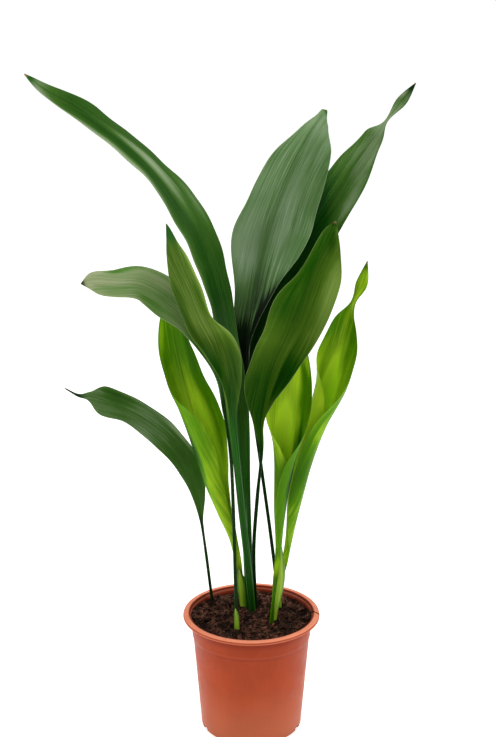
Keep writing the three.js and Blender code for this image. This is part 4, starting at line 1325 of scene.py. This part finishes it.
class PLANT_OT_sheaths(bpy.types.Operator):
    """Wrap the sheath scales round the feet of the stalks"""

    bl_idname = "plant.sheaths"
    bl_label = "Sheath Scales"

    def execute(self, context):
        settings = context.scene.plant_leaves
        material = new_material("Papery Sheath", sheath_look, settings)
        for node, sheath in SHEATHS.items():
            name = node.replace("sheath", "scale")
            mesh = leaf_mesh(name, sheath_leaf(**sheath), settings, relief=False, rings_per_span=24)
            finish_piece(add_object(name, mesh, material), [node], sharp=LEAF_SHARP)
        return {"FINISHED"}


# Rhizome
def root_look(nodes, settings):
    place = nodes.place()
    root = tuple(settings.root)
    lines = nodes.noise(place, 260, 4, 0.6)
    colour = nodes.mix(nodes.remap(lines, 0.3, 0.7), dimmed(root, 0.45), root)
    blotch = nodes.remap(nodes.noise(place, 60, 2), 0.5, 0.7, 0, 0.5)
    return {
        "Base Color": nodes.mix(blotch, colour, linear("5c3a24")),
        "Roughness": nodes.remap(lines, 0.3, 0.7, 0.7, 0.92),
        "Normal": nodes.bump(lines, 0.0006),
    }


class PLANT_OT_rhizome(bpy.types.Operator):
    """Give the rhizome under the soil its fibrous bark"""

    bl_idname = "plant.rhizome"
    bl_label = "Rhizome"

    def execute(self, context):
        material = new_material("Rhizome Bark", root_look, context.scene.plant_leaves)
        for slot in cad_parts["rhizome"].material_slots:
            slot.material = material
        return {"FINISHED"}


# Stage
CAMERA_PLACE = (-0.0042, -2.1, 1.182)
CAMERA_PITCH = 71.34
CAMERA_LENS = 90.9
SENSOR_WIDTH = 36
FLOOR_SIZE = 40
SIDE_LIGHTS = {
    "Left Softbox": ((-1.9, -0.2, 1.2), (1.2, 1.8)),
    "Right Softbox": ((1.9, -0.2, 1.2), (1.2, 1.8)),
}
TOP_LIGHT = ((0.0, 0.3, 2.6), (1.6, 1.6))
AIM = (0, 0, 0.4)


def add_light(name, place, size, power):
    light = bpy.data.lights.new(name, "AREA")
    light.shape = "RECTANGLE"
    light.size, light.size_y = size
    light.energy = power
    obj = add_object(name, light)
    obj.location = place
    obj.rotation_euler = (Vector(AIM) - Vector(place)).to_track_quat("-Z", "Y").to_euler()


def floor_look(nodes, settings):
    floor = tuple(settings.floor)
    return {
        "Base Color": nodes.mix(nodes.noise(nodes.place(), 3, 2), dimmed(floor, 0.98), floor),
        "Roughness": 0.8,
        "Emission Color": (1, 1, 1, 1),
        "Emission Strength": settings.glow,
    }


class PLANT_OT_stage(bpy.types.Operator):
    """Set out the pale floor, the soft lights and the camera"""

    bl_idname = "plant.stage"
    bl_label = "Studio"

    def execute(self, context):
        settings = context.scene.plant_stage
        scene = context.scene
        half = FLOOR_SIZE / 2
        corners = [(-half, -half, 0), (half, -half, 0), (half, half, 0), (-half, half, 0)]
        mesh = mesh_from("studio_floor", corners, [(0, 1, 2, 3)])
        floor = add_object("studio_floor", mesh, new_material("Studio Floor", floor_look, settings))
        world = bpy.data.worlds.new("White Surround")
        world.use_nodes = True
        background = world.node_tree.nodes["Background"]
        background.inputs["Color"].default_value = (1, 1, 1, 1)
        background.inputs["Strength"].default_value = settings.surround
        scene.world = world
        for name, (place, size) in SIDE_LIGHTS.items():
            add_light(name, place, size, settings.side_power)
        add_light("Top Softbox", *TOP_LIGHT, settings.top_power)
        camera = bpy.data.cameras.new("Camera")
        camera.lens = CAMERA_LENS
        camera.sensor_width = SENSOR_WIDTH
        holder = add_object("Camera", camera)
        holder.location = CAMERA_PLACE
        holder.rotation_euler = (math.radians(CAMERA_PITCH), 0, 0)
        scene.camera = holder
        scene.view_settings.view_transform = "Standard"
        return {"FINISHED"}


class PLANT_PT_panel(bpy.types.Panel):
    """Lists the steps that build the plant"""

    bl_idname = "PLANT_PT_panel"
    bl_label = "Potted Cast Iron Plant"
    bl_space_type = "VIEW_3D"
    bl_region_type = "UI"
    bl_category = "Plant"

    def draw(self, context):
        for step in STEPS:
            self.layout.operator(step.bl_idname)
        for group in SETTINGS:
            settings = getattr(context.scene, group)
            box = self.layout.box()
            for name in settings.__annotations__:
                box.prop(settings, name)


STEPS = (
    PLANT_OT_pot, PLANT_OT_soil, PLANT_OT_litter, PLANT_OT_leaves, PLANT_OT_sheaths, PLANT_OT_rhizome,
    PLANT_OT_stage,
)
SETTINGS = {
    "plant_pot": PlantPotSettings,
    "plant_soil": PlantSoilSettings,
    "plant_leaves": PlantLeafSettings,
    "plant_stage": PlantStageSettings,
}


def register():
    for group in SETTINGS.values():
        bpy.utils.register_class(group)
    for name, group in SETTINGS.items():
        setattr(bpy.types.Scene, name, PointerProperty(type=group))
    for step in STEPS:
        bpy.utils.register_class(step)
    bpy.utils.register_class(PLANT_PT_panel)


def unregister():
    bpy.utils.unregister_class(PLANT_PT_panel)
    for step in reversed(STEPS):
        bpy.utils.unregister_class(step)
    for name, group in SETTINGS.items():
        delattr(bpy.types.Scene, name)
        bpy.utils.unregister_class(group)


def main():
    register()
    bpy.ops.plant.pot()
    bpy.ops.plant.soil()
    bpy.ops.plant.litter()
    bpy.ops.plant.leaves()
    bpy.ops.plant.sheaths()
    bpy.ops.plant.rhizome()
    bpy.ops.plant.stage()


if __name__ == "__main__":
    main()
